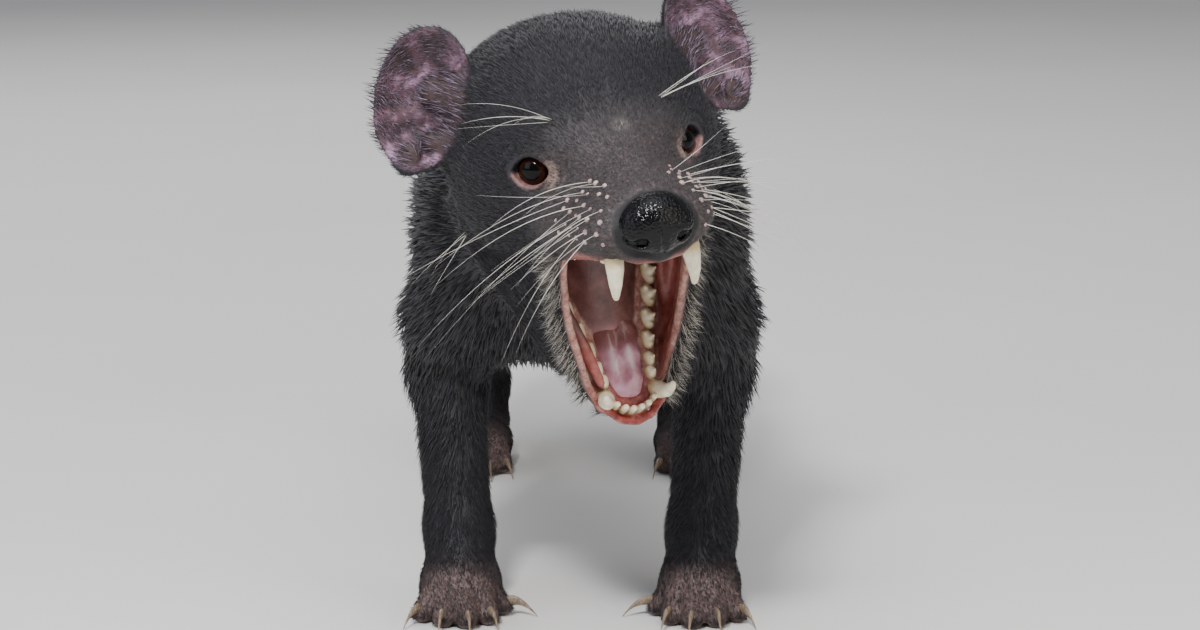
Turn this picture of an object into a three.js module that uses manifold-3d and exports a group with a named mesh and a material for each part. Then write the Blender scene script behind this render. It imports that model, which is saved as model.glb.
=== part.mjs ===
// A Tasmanian devil standing with its mouth wide open, life size, in millimetres, +Z up.
// It faces -Y, its left side is +X, and its soles are on the floor at Z = 0.
// The whole animal is one field of distances, negative inside. The field is meshed, thinned
// where it is smooth, and parted by thin cuts into head, jaw, neck, trunk, tail, legs and paws.
// Points are written [side, ahead, up]: side is positive to the animal's left, ahead is -Y.
import * as THREE from "three";
import { mergeVertices } from "three/addons/utils/BufferGeometryUtils.js";
import Module from "manifold-3d";

const wasm = await Module();
wasm.setup();

// Driving sizes of the body
const GAP = 0.3; // left between neighbouring nodes
const PAW_SIDE = 53; // a paw's distance from the midline
const FORE_PAW_AHEAD = 130;
const HIND_PAW_AHEAD = -176;
const WITHERS_UP = 262;
const RUMP_UP = 236;

// Driving sizes of the head, in the head's own frame, whose origin is midway between the eyes
const HEAD_AT = [12, 250, 220];
const HEAD_TURN = THREE.MathUtils.degToRad(17.6); // to its left
const HEAD_NOD = THREE.MathUtils.degToRad(6.6); // nose down
const HEAD_TILT = THREE.MathUtils.degToRad(-9); // its left eye is the higher
const EYE_RADIUS = 8.2;
const EYE_CENTRE = [28.8, -3, -1];
const EYE_LOOKS = new THREE.Vector3(0.6, 0.79, 0.1).normalize();
const EYE_OPENING = [7, 5.6]; // half its width and half its height
const LID_THICKNESS = 1.7;
const NOSE_AT = [0, 56, -14];
const CROWN_UP = 38;

// The jaw turns on a hinge across the head
const HINGE = [0, -40, -23];
const GAPE = THREE.MathUtils.degToRad(64.7);
const JAW_SWING = 0.028; // how far the jaw leans to the animal's left for each millimetre ahead

const FACE_CELL = 1.6; // spacing of the lattice that meshes the head
const BODY_CELL = 4.2;
const PAW_CELL = 2.0;
const FACE_FACES = 5600; // triangles that the head, the body and a paw are thinned to
const BODY_FACES = 3000;
const PAW_FACES = 340;

// Fields

function ball([cx, cy, cz], [rx, ry, rz]) {
  return (x, y, z) => {
    const px = (x - cx) / rx;
    const py = (y - cy) / ry;
    const pz = (z - cz) / rz;
    const near = Math.hypot(px, py, pz);
    const slope = Math.hypot(px / rx, py / ry, pz / rz);
    return slope > 1e-9 ? (near * (near - 1)) / slope : -Math.min(rx, ry, rz);
  };
}

function taper([ax, ay, az], ra, [bx, by, bz], rb) {
  const dx = bx - ax;
  const dy = by - ay;
  const dz = bz - az;
  const length2 = dx * dx + dy * dy + dz * dz;
  return (x, y, z) => {
    const px = x - ax;
    const py = y - ay;
    const pz = z - az;
    const t = Math.min(1, Math.max(0, (px * dx + py * dy + pz * dz) / length2));
    return Math.hypot(px - t * dx, py - t * dy, pz - t * dz) - ra - t * (rb - ra);
  };
}

// A chain of tapers through points that each end with their radius
function chain(...knots) {
  const links = knots.slice(1).map((knot, i) => {
    const before = knots[i];
    return taper(before.slice(0, 3), before[3], knot.slice(0, 3), knot[3]);
  });
  return (x, y, z) => links.reduce((least, link) => Math.min(least, link(x, y, z)), Infinity);
}

function softMin(a, b, k) {
  const h = Math.max(k - Math.abs(a - b), 0) / k;
  return Math.min(a, b) - h * h * k * 0.25;
}

const softMax = (a, b, k) => -softMin(-a, -b, k);

function blend(k, ...fields) {
  return (x, y, z) => fields.reduce((d, field) => softMin(d, field(x, y, z), k), 1e3);
}

// The head, in its own frame, for its left half

const cranium = blend(
  14,
  ball([0, -38, 3], [46, 48, CROWN_UP - 4]),
  ball([24, -50, 14], [24, 30, 21]), // temple muscle, under the ear's root
  ball([31, -30, -13], [23.5, 33, 26]), // cheek muscle
  ball([19, -2, 6], [15, 16, 12]), // brow
  taper([0, -8, -2], 25, [0, 38, -13], 15), // muzzle
  ball([14.5, 37, -17.5], [14.5, 20, 12]), // whisker pad
  ball([24, 6, -20], [13, 22, 13]),
);

const nosePad = blend(
  3,
  ball(NOSE_AT, [14.6, 10, 12.2]),
  ball([8.5, 54, -17], [6.8, 9, 7.6]), // wing of the nostril
  ball([0, 56, -21], [5, 7, 7]),
);

const upperLip = chain(
  [0, 55, -27.6, 4.2], [8, 53.4, -27, 4.3], [13, 50, -25, 4.4], [19.5, 36, -27, 4.8],
  [24.5, 20, -30, 5], [27.5, 6, -32.5, 5.4],
);

const LID_RADIUS = EYE_RADIUS + LID_THICKNESS;
const lidMound = ball(EYE_CENTRE, [LID_RADIUS, LID_RADIUS, LID_RADIUS]);

// The jaw, in the head's frame as if the mouth were shut
const mandible = blend(
  8,
  chain([33, -34, -42, 14], [26, -6, -46, 11], [16, 24, -45.5, 8.5], [8, 45, -45, 6.6], [0, 52.5, -45, 6.4]),
  ball([0, 10, -51], [19, 36, 9]), // floor of the mouth
  ball([0, -26, -48], [32, 24, 16]),
);
// The lip from the middle of the chin round to the upper lip, which a gape stretches into a loop
const lowerLip = chain(
  [0, 59.5, -40.5, 3.4], [7, 57.5, -40.3, 3.4], [13.4, 50.5, -38.8, 3.5], [17.5, 42, -33.5, 3.8],
  [20.3, 34, -26, 4], [22.4, 27.2, -19, 4.2], [24.6, 17.4, -11.4, 4.3], [26, 8.2, -3, 4.4],
  [27, 0, 7, 4.6], [27.4, -5, 13, 4.8], [27.5, -10, 17, 5],
);

// Where a point of the head goes in the frame of the jaw as if shut
const HINGE_COS = Math.cos(GAPE);
const HINGE_SIN = Math.sin(GAPE);
function toJaw(x, y, z) {
  const dy = y - HINGE[1];
  const dz = z - HINGE[2];
  const ahead = dy * HINGE_COS - dz * HINGE_SIN;
  return [x - JAW_SWING * ahead, HINGE[1] + ahead, HINGE[2] + dy * HINGE_SIN + dz * HINGE_COS];
}

// Skin stretched between the jaws behind the lips: how far to the side it is, and where its edge is
const LIP_TOP_UP = -36;
const LIP_FALL = 70; // from the corner at the upper lip down to the jaw's canine tooth
const CHEEK_THICKNESS = 6.5;
function cheekSheet(y, z) {
  const t = Math.min(1.15, Math.max(0, (z - LIP_TOP_UP + LIP_FALL) / LIP_FALL));
  const edge = -11.3 + 3.8 * t + 16.5 * t * t;
  const side = 27.4 - 12.8 * Math.max(0, 1 - t) ** 2.2 + 0.3 * Math.max(0, edge - y);
  return [side, edge];
}

// The hollow of the mouth, between palate and floor, cheek and cheek, open in front of the teeth
const PALATE_UP = -24;
const FLOOR_UP = -43;
const THROAT_AHEAD = -29;
const CHIN_WALL = [48, -38]; // how far ahead on the jaw the hollow's floor ends, and the chin's height
const MOUTH_HALF = 24;
function mouthHollow(x, y, z, jy, jz, cheekSide) {
  const palate = z - PALATE_UP - 3 * Math.cos((Math.min(1, x / 20) * Math.PI) / 2);
  const floor = FLOOR_UP - jz;
  const cheek = x - Math.min(MOUTH_HALF, cheekSide - CHEEK_THICKNESS / 2) + Math.max(0, y - 16) * 0.26;
  const throat = THROAT_AHEAD - 14 * (x / 20) ** 2 - y;
  const chin = Math.min(jy - CHIN_WALL[0], CHIN_WALL[1] - jz);
  const walls = softMax(softMax(palate, floor, 4), cheek, 5);
  return softMax(softMax(walls, throat, 8), chin, 2);
}

// Gums, which the teeth stand on
const upperGum = chain(
  [0, 49, -25, 3.4], [10, 47, -25.6, 3.8], [16, 40, -26, 4.2], [18.5, 22, -26, 4.4], [21.5, 0, -26, 4.6],
);
const lowerGum = chain(
  [0, 51.5, -42, 3], [6.5, 49.5, -42, 3.3], [10.3, 42, -42.3, 3.6],
  [12.7, 27, -42.3, 3.9], [17, 10, -42, 4.2], [20.5, -4, -42, 4.4],
);

// The tongue is wider than it is thick, with a groove along its middle
const TONGUE_FLATNESS = 0.62;
const tongueCore = chain([0, -6, -46.5, 7.8], [0, 12, -46.2, 7.5], [0, 28, -45.8, 6.7], [0, 42, -44.4, 5]);
function tongueBody(x, y, z) {
  const groove = z > -47 ? 1.5 * Math.exp(-((x / 2.4) ** 2)) : 0;
  return tongueCore(x * TONGUE_FLATNESS, y, z) + groove;
}

// The ear, a dished sheet in a frame of its own: across, along to the tip, and out of the cup
const EAR_AT = [62, -46, 24];
const EAR_ALONG = new THREE.Vector3(-0.34, -0.06, 0.94).normalize();
const EAR_FACES = new THREE.Vector3(0.42, 0.88, 0.2).normalize();
const EAR_HALF = [21, 31];
const EAR_DISH = 13;
const EAR_THICKNESS = 3.2;
const earAcross = new THREE.Vector3().crossVectors(EAR_ALONG, EAR_FACES).normalize();
const earOut = new THREE.Vector3().crossVectors(earAcross, EAR_ALONG).normalize();

function earField(x, y, z) {
  const px = x - EAR_AT[0];
  const py = y - EAR_AT[1];
  const pz = z - EAR_AT[2];
  const across = px * earAcross.x + py * earAcross.y + pz * earAcross.z;
  const along = px * EAR_ALONG.x + py * EAR_ALONG.y + pz * EAR_ALONG.z;
  const out = px * earOut.x + py * earOut.y + pz * earOut.z;
  const u = across / EAR_HALF[0];
  const v = along / EAR_HALF[1];
  const reach2 = u * u + v * v;
  const rim = (Math.sqrt(reach2) - 1) * EAR_HALF[0] * 0.9;
  const dish = -EAR_DISH * (1 - Math.min(1.2, reach2));
  const fold = 2.6 * Math.exp(-(((along + 6 - across * 0.35) / 4.5) ** 2)) * Math.max(0, 1 - reach2);
  const slope = Math.hypot(1, (2 * EAR_DISH * Math.sqrt(Math.min(1.2, reach2))) / EAR_HALF[0]);
  const sheet = Math.abs(out - dish - fold) / slope - EAR_THICKNESS / 2;
  return softMax(sheet, rim, 3);
}
const earRoot = blend(6, taper([44, -48, 22], 13, [54, -52, 24], 8), taper([50, -46, 2], 9, [60, -46, 6], 5));

// Frame of the head in the animal's frame
const headEuler = new THREE.Euler(HEAD_NOD, HEAD_TILT, HEAD_TURN, "ZXY");
const headPlace = new THREE.Vector3(HEAD_AT[0], -HEAD_AT[1], HEAD_AT[2]);
const headFrame = new THREE.Matrix4().makeRotationFromEuler(headEuler).setPosition(headPlace);

// The same point in the other frame, with ahead as the second number in both
function moved(e, x, y, z) {
  return [
    e[0] * x - e[4] * y + e[8] * z + e[12],
    -(e[1] * x - e[5] * y + e[9] * z + e[13]),
    e[2] * x - e[6] * y + e[10] * z + e[14],
  ];
}
const headElements = headFrame.elements;
const bodyElements = headFrame.clone().invert().elements;
const fromHead = ([x, y, z]) => moved(headElements, x, y, z);
const toHead = (x, y, z) => moved(bodyElements, x, y, z);

// The body, for its left half
const trunk = blend(
  34,
  ball([0, 92, 178], [66, 72, 74]), // chest
  ball([0, 78, WITHERS_UP - 58], [52, 78, 56]),
  ball([0, -40, 164], [70, 118, 62]), // belly
  ball([0, -20, WITHERS_UP - 66], [50, 120, 58]),
  ball([0, -158, RUMP_UP - 66], [60, 68, 64]),
);
const tail = chain(
  [0, -205, 188, 30], [0, -262, 170, 25], [0, -340, 139, 19.5], [0, -418, 108, 13.5], [0, -470, 88, 6.5],
);

const FORE_WRIST_UP = 34;
const shoulder = ball([46, 112, 158], [30, 38, 52]);
const foreArm = blend(
  10,
  taper([56, 104, 128], 30, [59, 92, 104], 24),
  taper([59, 92, 104], 22, [PAW_SIDE + 1, 116, FORE_WRIST_UP], 14.5),
  taper([PAW_SIDE + 1, 116, FORE_WRIST_UP], 14.5, [PAW_SIDE, 124, 18], 15),
);
const thigh = ball([44, -158, 138], [32, 50, 56]);
const HOCK_UP = 40;
const shank = blend(
  10,
  taper([56, -138, 104], 29, [57, -180, 68], 18),
  taper([57, -180, 68], 18, [PAW_SIDE, -206, HOCK_UP], 13),
  taper([PAW_SIDE, -206, HOCK_UP], 13, [PAW_SIDE, -200, 22], 13.5),
);

// A paw's toes: how far to the side of the paw's middle each starts and ends, how far ahead and how thick
const FORE_TOES = [
  { from: [-10, 6], to: [-19, 8], up: 4.6, radius: 5.6 },
  { from: [-9, 12], to: [-13, 24], up: 4.4, radius: 6 },
  { from: [-2, 14], to: [-4, 30], up: 4.4, radius: 6.3 },
  { from: [5, 13], to: [6.5, 28], up: 4.4, radius: 6.2 },
  { from: [10, 9], to: [16, 20], up: 4.4, radius: 5.8 },
];
const HIND_TOES = [
  { from: [-8, 14], to: [-12, 26], up: 4.4, radius: 5.7 },
  { from: [-2, 16], to: [-4, 31], up: 4.4, radius: 6.1 },
  { from: [5, 15], to: [5, 30], up: 4.4, radius: 6.1 },
  { from: [10, 11], to: [14, 23], up: 4.4, radius: 5.7 },
];

function pawField(ahead, toes, pad) {
  const digits = toes.map(({ from, to, up, radius }) => {
    const knuckle = [PAW_SIDE + from[0], ahead + from[1], up + 6];
    return taper(knuckle, radius + 1.5, [PAW_SIDE + to[0], ahead + to[1], up], radius);
  });
  const knuckles = (x, y, z) => digits.reduce((least, digit) => softMin(least, digit(x, y, z), 2.2), 1e3);
  return (x, y, z) => softMin(pad(x, y, z), knuckles(x, y, z), 7);
}
const forePad = blend(
  6,
  ball([PAW_SIDE, FORE_PAW_AHEAD, 12], [18.5, 18, 14]),
  ball([PAW_SIDE, FORE_PAW_AHEAD - 12, 9], [13, 13, 12]),
);
const hindPad = blend(
  8,
  ball([PAW_SIDE, HIND_PAW_AHEAD, 12], [16.5, 22, 13.5]),
  taper([PAW_SIDE, HIND_PAW_AHEAD - 26, 13], 12.5, [PAW_SIDE, HIND_PAW_AHEAD, 12], 12),
);
const forePaw = pawField(FORE_PAW_AHEAD, FORE_TOES, forePad);
const hindPaw = pawField(HIND_PAW_AHEAD, HIND_TOES, hindPad);

// Neck and throat, between head and chest
const nape = fromHead([0, -52, -6]);
const gullet = fromHead([0, -56, -38]);
const neck = blend(24, taper(nape, 54, [0, 118, 190], 66), taper(gullet, 40, [0, 128, 160], 52));

function bodyField(x, y, z) {
  const side = Math.abs(x);
  let d = softMin(trunk(side, y, z), neck(x, y, z), 26);
  d = softMin(d, tail(side, y, z), 24);
  d = softMin(d, softMin(shoulder(side, y, z), foreArm(side, y, z), 14), 26);
  d = softMin(d, softMin(thigh(side, y, z), shank(side, y, z), 16), 24);
  d = softMin(d, forePaw(side, y, z), 9);
  d = softMin(d, hindPaw(side, y, z), 9);
  return d;
}

function headField(hx, hy, hz, rest) {
  const side = Math.abs(hx);
  const [jx, jy, jz] = toJaw(hx, hy, hz);
  const jawSide = Math.abs(jx);
  const [cheekSide, cheekEdge] = cheekSheet(hy, hz);
  let d = cranium(side, hy, hz);
  d = softMin(d, upperLip(side, hy, hz), 4);
  d = softMin(d, mandible(jawSide, jy, jz), 6);
  // the sheet ends at its front edge, on the jaw and at the upper lip
  const ends = Math.max(hy - cheekEdge, -44 - jz, jy - 34, hz + 26);
  const cheek = softMax(Math.abs(side - cheekSide) - CHEEK_THICKNESS / 2, ends, 3);
  d = softMin(d, cheek, 8);
  d = softMin(d, rest, 20);
  d = softMin(d, lowerLip(jawSide, jy, jz), 3.5);
  d = softMin(d, earRoot(side, hy, hz), 8);
  d = softMin(d, lidMound(side, hy, hz), 5);
  d = softMax(d, -mouthHollow(side, hy, hz, jy, jz, cheekSide), 3);
  d = softMin(d, upperGum(side, hy, hz), 1.5);
  d = softMin(d, lowerGum(jawSide, jy, jz), 1.5);
  d = softMin(d, tongueBody(jawSide, jy, jz), 1.5);
  d = softMin(d, nosePad(side, hy, hz), 2);
  d = softMax(d, -eyeOpening(side, hy, hz), 0.8);
  return softMin(d, earField(side, hy, hz), 3);
}

const eyeAcross = new THREE.Vector3(0, 0, 1).cross(EYE_LOOKS).normalize();
const eyeUp = new THREE.Vector3().crossVectors(EYE_LOOKS, eyeAcross).normalize();
function eyeOpening(x, y, z) {
  const px = x - EYE_CENTRE[0];
  const py = y - EYE_CENTRE[1];
  const pz = z - EYE_CENTRE[2];
  const across = px * eyeAcross.x + py * eyeAcross.y + pz * eyeAcross.z;
  const up = px * eyeUp.x + py * eyeUp.y + pz * eyeUp.z;
  const out = px * EYE_LOOKS.x + py * EYE_LOOKS.y + pz * EYE_LOOKS.z;
  const ring = (Math.hypot(across / EYE_OPENING[0], up / EYE_OPENING[1]) - 1) * EYE_OPENING[1];
  return Math.max(ring - Math.max(0, out - EYE_RADIUS) * 0.6, 4 - out);
}

const HEAD_REACH = 130; // past this from the eyes the head's own forms play no part
function headFlesh(x, y, z) {
  return headField(x, y, z, bodyField(...fromHead([x, y, z])));
}
function bodyFlesh(x, y, z) {
  const rest = bodyField(x, y, z);
  const [hx, hy, hz] = toHead(x, y, z);
  return Math.hypot(hx, hy, hz) > HEAD_REACH ? rest : headField(hx, hy, hz, rest);
}

// Meshing: each cube of a lattice is cut into six tetrahedra about one diagonal

const CORNERS = [0, 1, 2, 3, 4, 5, 6, 7].map((c) => [c & 1, (c >> 1) & 1, c >> 2]);
const TETRAHEDRA = [[0, 1, 3, 7], [0, 3, 2, 7], [0, 2, 6, 7], [0, 6, 4, 7], [0, 4, 5, 7], [0, 5, 1, 7]];
// A tetrahedron's corners, with the lone one inside or the two inside put first, turned the same way
const ONE_FIRST = [[0, 1, 2, 3], [1, 0, 3, 2], [2, 0, 1, 3], [3, 0, 2, 1]];
const TWO_FIRST = [[0, 1, 2, 3], [0, 2, 3, 1], [0, 3, 1, 2], [1, 2, 0, 3], [1, 3, 2, 0], [2, 3, 0, 1]];
const BLOCK = 4;
const BLOCK_SAFETY = 1.7; // how far a field's value is trusted as a distance

function sampled(field, low, cell, count) {
  const values = new Float32Array(count[0] * count[1] * count[2]);
  const half = ((BLOCK - 1) / 2) * cell;
  for (let k = 0; k < count[2]; k += BLOCK)
    for (let j = 0; j < count[1]; j += BLOCK)
      for (let i = 0; i < count[0]; i += BLOCK) {
        const middle = field(low[0] + i * cell + half, low[1] + j * cell + half, low[2] + k * cell + half);
        const empty = Math.abs(middle) > BLOCK_SAFETY * half * Math.sqrt(3) + 2 * cell;
        for (let c = k; c < Math.min(k + BLOCK, count[2]); c++)
          for (let b = j; b < Math.min(j + BLOCK, count[1]); b++)
            for (let a = i; a < Math.min(i + BLOCK, count[0]); a++) {
              const value = empty ? middle : field(low[0] + a * cell, low[1] + b * cell, low[2] + c * cell);
              const edge = !a || !b || !c || a === count[0] - 1 || b === count[1] - 1 || c === count[2] - 1;
              values[(c * count[1] + b) * count[0] + a] = edge ? Math.max(value, cell / 2) : value;
            }
      }
  return values;
}

function surface(field, low, high, cell) {
  const count = low.map((edge, axis) => Math.ceil((high[axis] - edge) / cell) + 1);
  const values = sampled(field, low, cell, count);
  const offsets = CORNERS.map(([a, b, c]) => (c * count[1] + b) * count[0] + a);
  const points = [];
  const faces = [];
  const crossings = new Map();
  const crossing = (base, a, b) => {
    const [from, to] = a < b ? [a, b] : [b, a];
    const key = (base + offsets[from]) * 8 + (to - from);
    if (crossings.has(key)) return crossings.get(key);
    const va = values[base + offsets[from]];
    const vb = values[base + offsets[to]];
    const t = Math.min(0.96, Math.max(0.04, va / (va - vb)));
    const start = base + offsets[from];
    const row = Math.floor(start / count[0]);
    const at = [start % count[0], row % count[1], Math.floor(row / count[1])];
    for (let axis = 0; axis < 3; axis++)
      points.push(low[axis] + cell * (at[axis] + t * (CORNERS[to][axis] - CORNERS[from][axis])));
    crossings.set(key, points.length / 3 - 1);
    return points.length / 3 - 1;
  };
  for (let k = 0; k < count[2] - 1; k++)
    for (let j = 0; j < count[1] - 1; j++)
      for (let i = 0; i < count[0] - 1; i++) {
        const base = (k * count[1] + j) * count[0] + i;
        let within = 0;
        for (let c = 0; c < 8; c++) within += values[base + offsets[c]] < 0 ? 1 : 0;
        if (within === 0 || within === 8) continue;
        for (const tetrahedron of TETRAHEDRA) {
          const inside = [0, 1, 2, 3].filter((v) => values[base + offsets[tetrahedron[v]]] < 0);
          if (inside.length === 0 || inside.length === 4) continue;
          if (inside.length === 2) {
            const order = TWO_FIRST.find((o) => inside.includes(o[0]) && inside.includes(o[1]));
            const [a, b, c, d] = order.map((v) => tetrahedron[v]);
            const edges = [[a, c], [a, d], [b, d], [b, c]];
            const quad = edges.map(([from, to]) => crossing(base, from, to));
            faces.push(quad[0], quad[1], quad[2], quad[0], quad[2], quad[3]);
            continue;
          }
          const lone = inside.length === 1 ? inside[0] : [0, 1, 2, 3].find((v) => !inside.includes(v));
          const [a, b, c, d] = ONE_FIRST[lone].map((v) => tetrahedron[v]);
          const corner = [crossing(base, a, b), crossing(base, a, c), crossing(base, a, d)];
          if (inside.length === 3) corner.reverse();
          faces.push(...corner);
        }
      }
  return { points, faces };
}

// Thinning: the edge whose loss bends the surface least is drawn together, again and again

const FLIP_LIMIT = 0.25; // least cosine between a face's old and new direction
const EDGE_WEIGHT = 2e-4; // keeps flat places from thinning to slivers

function planeQuadric(p, a, b, c) {
  const ux = p[b] - p[a];
  const uy = p[b + 1] - p[a + 1];
  const uz = p[b + 2] - p[a + 2];
  const vx = p[c] - p[a];
  const vy = p[c + 1] - p[a + 1];
  const vz = p[c + 2] - p[a + 2];
  let nx = uy * vz - uz * vy;
  let ny = uz * vx - ux * vz;
  let nz = ux * vy - uy * vx;
  const area = Math.hypot(nx, ny, nz) || 1e-12;
  nx /= area;
  ny /= area;
  nz /= area;
  const d = -(nx * p[a] + ny * p[a + 1] + nz * p[a + 2]);
  const products = [nx * nx, nx * ny, nx * nz, nx * d, ny * ny, ny * nz, ny * d, nz * nz, nz * d, d * d];
  return products.map((product) => product * area * 0.5);
}

function quadricCost(q, x, y, z) {
  return (
    q[0] * x * x + 2 * q[1] * x * y + 2 * q[2] * x * z + 2 * q[3] * x +
    q[4] * y * y + 2 * q[5] * y * z + 2 * q[6] * y + q[7] * z * z + 2 * q[8] * z + q[9]
  );
}

function bestPoint(q, p, a, b) {
  // the quadric's matrix is symmetric, and so are its six minors
  const minor0 = q[4] * q[7] - q[5] * q[5];
  const minor1 = q[2] * q[5] - q[1] * q[7];
  const minor2 = q[1] * q[5] - q[2] * q[4];
  const minor3 = q[0] * q[7] - q[2] * q[2];
  const minor4 = q[1] * q[2] - q[0] * q[5];
  const minor5 = q[0] * q[4] - q[1] * q[1];
  const det = q[0] * minor0 + q[1] * minor1 + q[2] * minor2;
  const middle = [0, 1, 2].map((i) => (p[a + i] + p[b + i]) / 2);
  const scale = Math.max(q[0], q[4], q[7]);
  if (Math.abs(det) > 1e-4 * scale ** 3) {
    const x = -(minor0 * q[3] + minor1 * q[6] + minor2 * q[8]) / det;
    const y = -(minor1 * q[3] + minor3 * q[6] + minor4 * q[8]) / det;
    const z = -(minor2 * q[3] + minor4 * q[6] + minor5 * q[8]) / det;
    const length = Math.hypot(p[a] - p[b], p[a + 1] - p[b + 1], p[a + 2] - p[b + 2]);
    if (Math.hypot(x - middle[0], y - middle[1], z - middle[2]) < length) return [x, y, z];
  }
  return middle;
}

class Heap {
  constructor() {
    this.items = [];
  }
  push(item) {
    const list = this.items;
    let i = list.push(item) - 1;
    while (i > 0) {
      const parent = (i - 1) >> 1;
      if (list[parent].cost <= item.cost) break;
      list[i] = list[parent];
      i = parent;
    }
    list[i] = item;
  }
  pop() {
    const list = this.items;
    const top = list[0];
    const last = list.pop();
    if (!list.length) return top;
    let i = 0;
    for (;;) {
      let child = 2 * i + 1;
      if (child >= list.length) break;
      if (child + 1 < list.length && list[child + 1].cost < list[child].cost) child++;
      if (list[child].cost >= last.cost) break;
      list[i] = list[child];
      i = child;
    }
    list[i] = last;
    return top;
  }
}

function thinned({ points, faces }, target) {
  const p = Float64Array.from(points);
  const face = Int32Array.from(faces);
  const vertexCount = p.length / 3;
  const quadrics = Array.from({ length: vertexCount }, () => new Float64Array(10));
  const around = Array.from({ length: vertexCount }, () => []);
  const version = new Int32Array(vertexCount);
  let alive = face.length / 3;
  for (let f = 0; f < face.length; f += 3) {
    const q = planeQuadric(p, face[f] * 3, face[f + 1] * 3, face[f + 2] * 3);
    for (let c = 0; c < 3; c++) {
      around[face[f + c]].push(f);
      for (let i = 0; i < 10; i++) quadrics[face[f + c]][i] += q[i];
    }
  }
  const heap = new Heap();
  const offer = (a, b) => {
    const q = quadrics[a].map((v, i) => v + quadrics[b][i]);
    const to = bestPoint(q, p, a * 3, b * 3);
    const length2 = [0, 1, 2].reduce((sum, axis) => sum + (p[a * 3 + axis] - p[b * 3 + axis]) ** 2, 0);
    const cost = Math.max(0, quadricCost(q, ...to)) + EDGE_WEIGHT * length2;
    heap.push({ cost, a, b, to, stamp: version[a] + version[b] });
  };
  for (let f = 0; f < face.length; f += 3)
    for (let c = 0; c < 3; c++) {
      const a = face[f + c];
      const b = face[f + ((c + 1) % 3)];
      if (a < b) offer(a, b);
    }
  const neighbours = (v) => {
    const found = new Set();
    for (const f of around[v]) for (let c = 0; c < 3; c++) if (face[f + c] !== v) found.add(face[f + c]);
    return found;
  };
  const turnsOver = (v, other, to) => {
    for (const f of around[v]) {
      const c = [face[f], face[f + 1], face[f + 2]];
      if (c.includes(other)) continue;
      const old = c.map((i) => [p[i * 3], p[i * 3 + 1], p[i * 3 + 2]]);
      const next = c.map((i, n) => (i === v ? to : old[n]));
      const [n0, n1] = [old, next].map(([s, t, r]) => {
        const u = [t[0] - s[0], t[1] - s[1], t[2] - s[2]];
        const w = [r[0] - s[0], r[1] - s[1], r[2] - s[2]];
        return [u[1] * w[2] - u[2] * w[1], u[2] * w[0] - u[0] * w[2], u[0] * w[1] - u[1] * w[0]];
      });
      const dot = n0[0] * n1[0] + n0[1] * n1[1] + n0[2] * n1[2];
      if (dot < FLIP_LIMIT * Math.hypot(...n0) * Math.hypot(...n1) || Math.hypot(...n1) < 1e-6) return true;
    }
    return false;
  };
  while (alive > target && heap.items.length) {
    const { a, b, to, stamp } = heap.pop();
    if (version[a] < 0 || version[b] < 0 || stamp !== version[a] + version[b]) continue;
    const [na, nb] = [neighbours(a), neighbours(b)];
    if (!na.has(b)) continue;
    let shared = 0;
    for (const n of na) shared += nb.has(n) ? 1 : 0;
    if (shared !== 2 || turnsOver(a, b, to) || turnsOver(b, a, to)) continue;
    p.set(to, a * 3);
    for (const f of around[b]) {
      const c = [face[f], face[f + 1], face[f + 2]];
      if (c.includes(a)) {
        for (const v of c) if (v !== b) around[v].splice(around[v].indexOf(f), 1);
        face[f] = -1;
        alive--;
      } else {
        face[f + c.indexOf(b)] = a;
        around[a].push(f);
      }
    }
    for (let i = 0; i < 10; i++) quadrics[a][i] += quadrics[b][i];
    around[b] = [];
    version[b] = -1e9;
    version[a] += 1;
    for (const n of neighbours(a)) offer(Math.min(a, n), Math.max(a, n));
  }
  return { points: p, faces: face };
}

// Solids

function solidOf({ points, faces }) {
  const index = new Map();
  const vertices = [];
  const triangles = [];
  for (let f = 0; f < faces.length; f += 3) {
    if (faces[f] < 0) continue;
    for (let c = 0; c < 3; c++) {
      const v = faces[f + c];
      if (!index.has(v)) {
        index.set(v, vertices.length / 3);
        vertices.push(points[v * 3], -points[v * 3 + 1], points[v * 3 + 2]);
      }
    }
    // the field counts ahead as positive and the solid has it on -Y, so each face is turned round
    triangles.push(index.get(faces[f]), index.get(faces[f + 2]), index.get(faces[f + 1]));
  }
  return closedSolid(vertices, triangles);
}

function closedSolid(vertices, triangles) {
  const vertProperties = Float32Array.from(vertices);
  const triVerts = Uint32Array.from(triangles);
  return new wasm.Manifold(new wasm.Mesh({ numProp: 3, vertProperties, triVerts }));
}

function meshed(field, low, high, cell, target) {
  return solidOf(thinned(surface(field, low, high, cell), target));
}

// A solid from one of three.js's closed geometries
function solidFrom(geometry) {
  geometry.deleteAttribute("normal");
  geometry.deleteAttribute("uv");
  const merged = mergeVertices(geometry, 1e-4);
  return closedSolid(merged.attributes.position.array, merged.index.array);
}

function geometryOf(solid) {
  const { numProp, vertProperties, triVerts } = solid.getMesh();
  const geometry = new THREE.BufferGeometry();
  const count = vertProperties.length / numProp;
  const position = new Float32Array(count * 3);
  for (let v = 0; v < count; v++)
    for (let c = 0; c < 3; c++) position[v * 3 + c] = vertProperties[v * numProp + c];
  geometry.setAttribute("position", new THREE.BufferAttribute(position, 3));
  geometry.setIndex(new THREE.BufferAttribute(Uint32Array.from(triVerts), 1));
  geometry.computeVertexNormals();
  return geometry;
}

function largest(solid) {
  const pieces = solid.decompose();
  return pieces.reduce((most, piece) => (piece.volume() > most.volume() ? piece : most));
}

const placed = ([x, y, z]) => new THREE.Vector3(x, -y, z);

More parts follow.
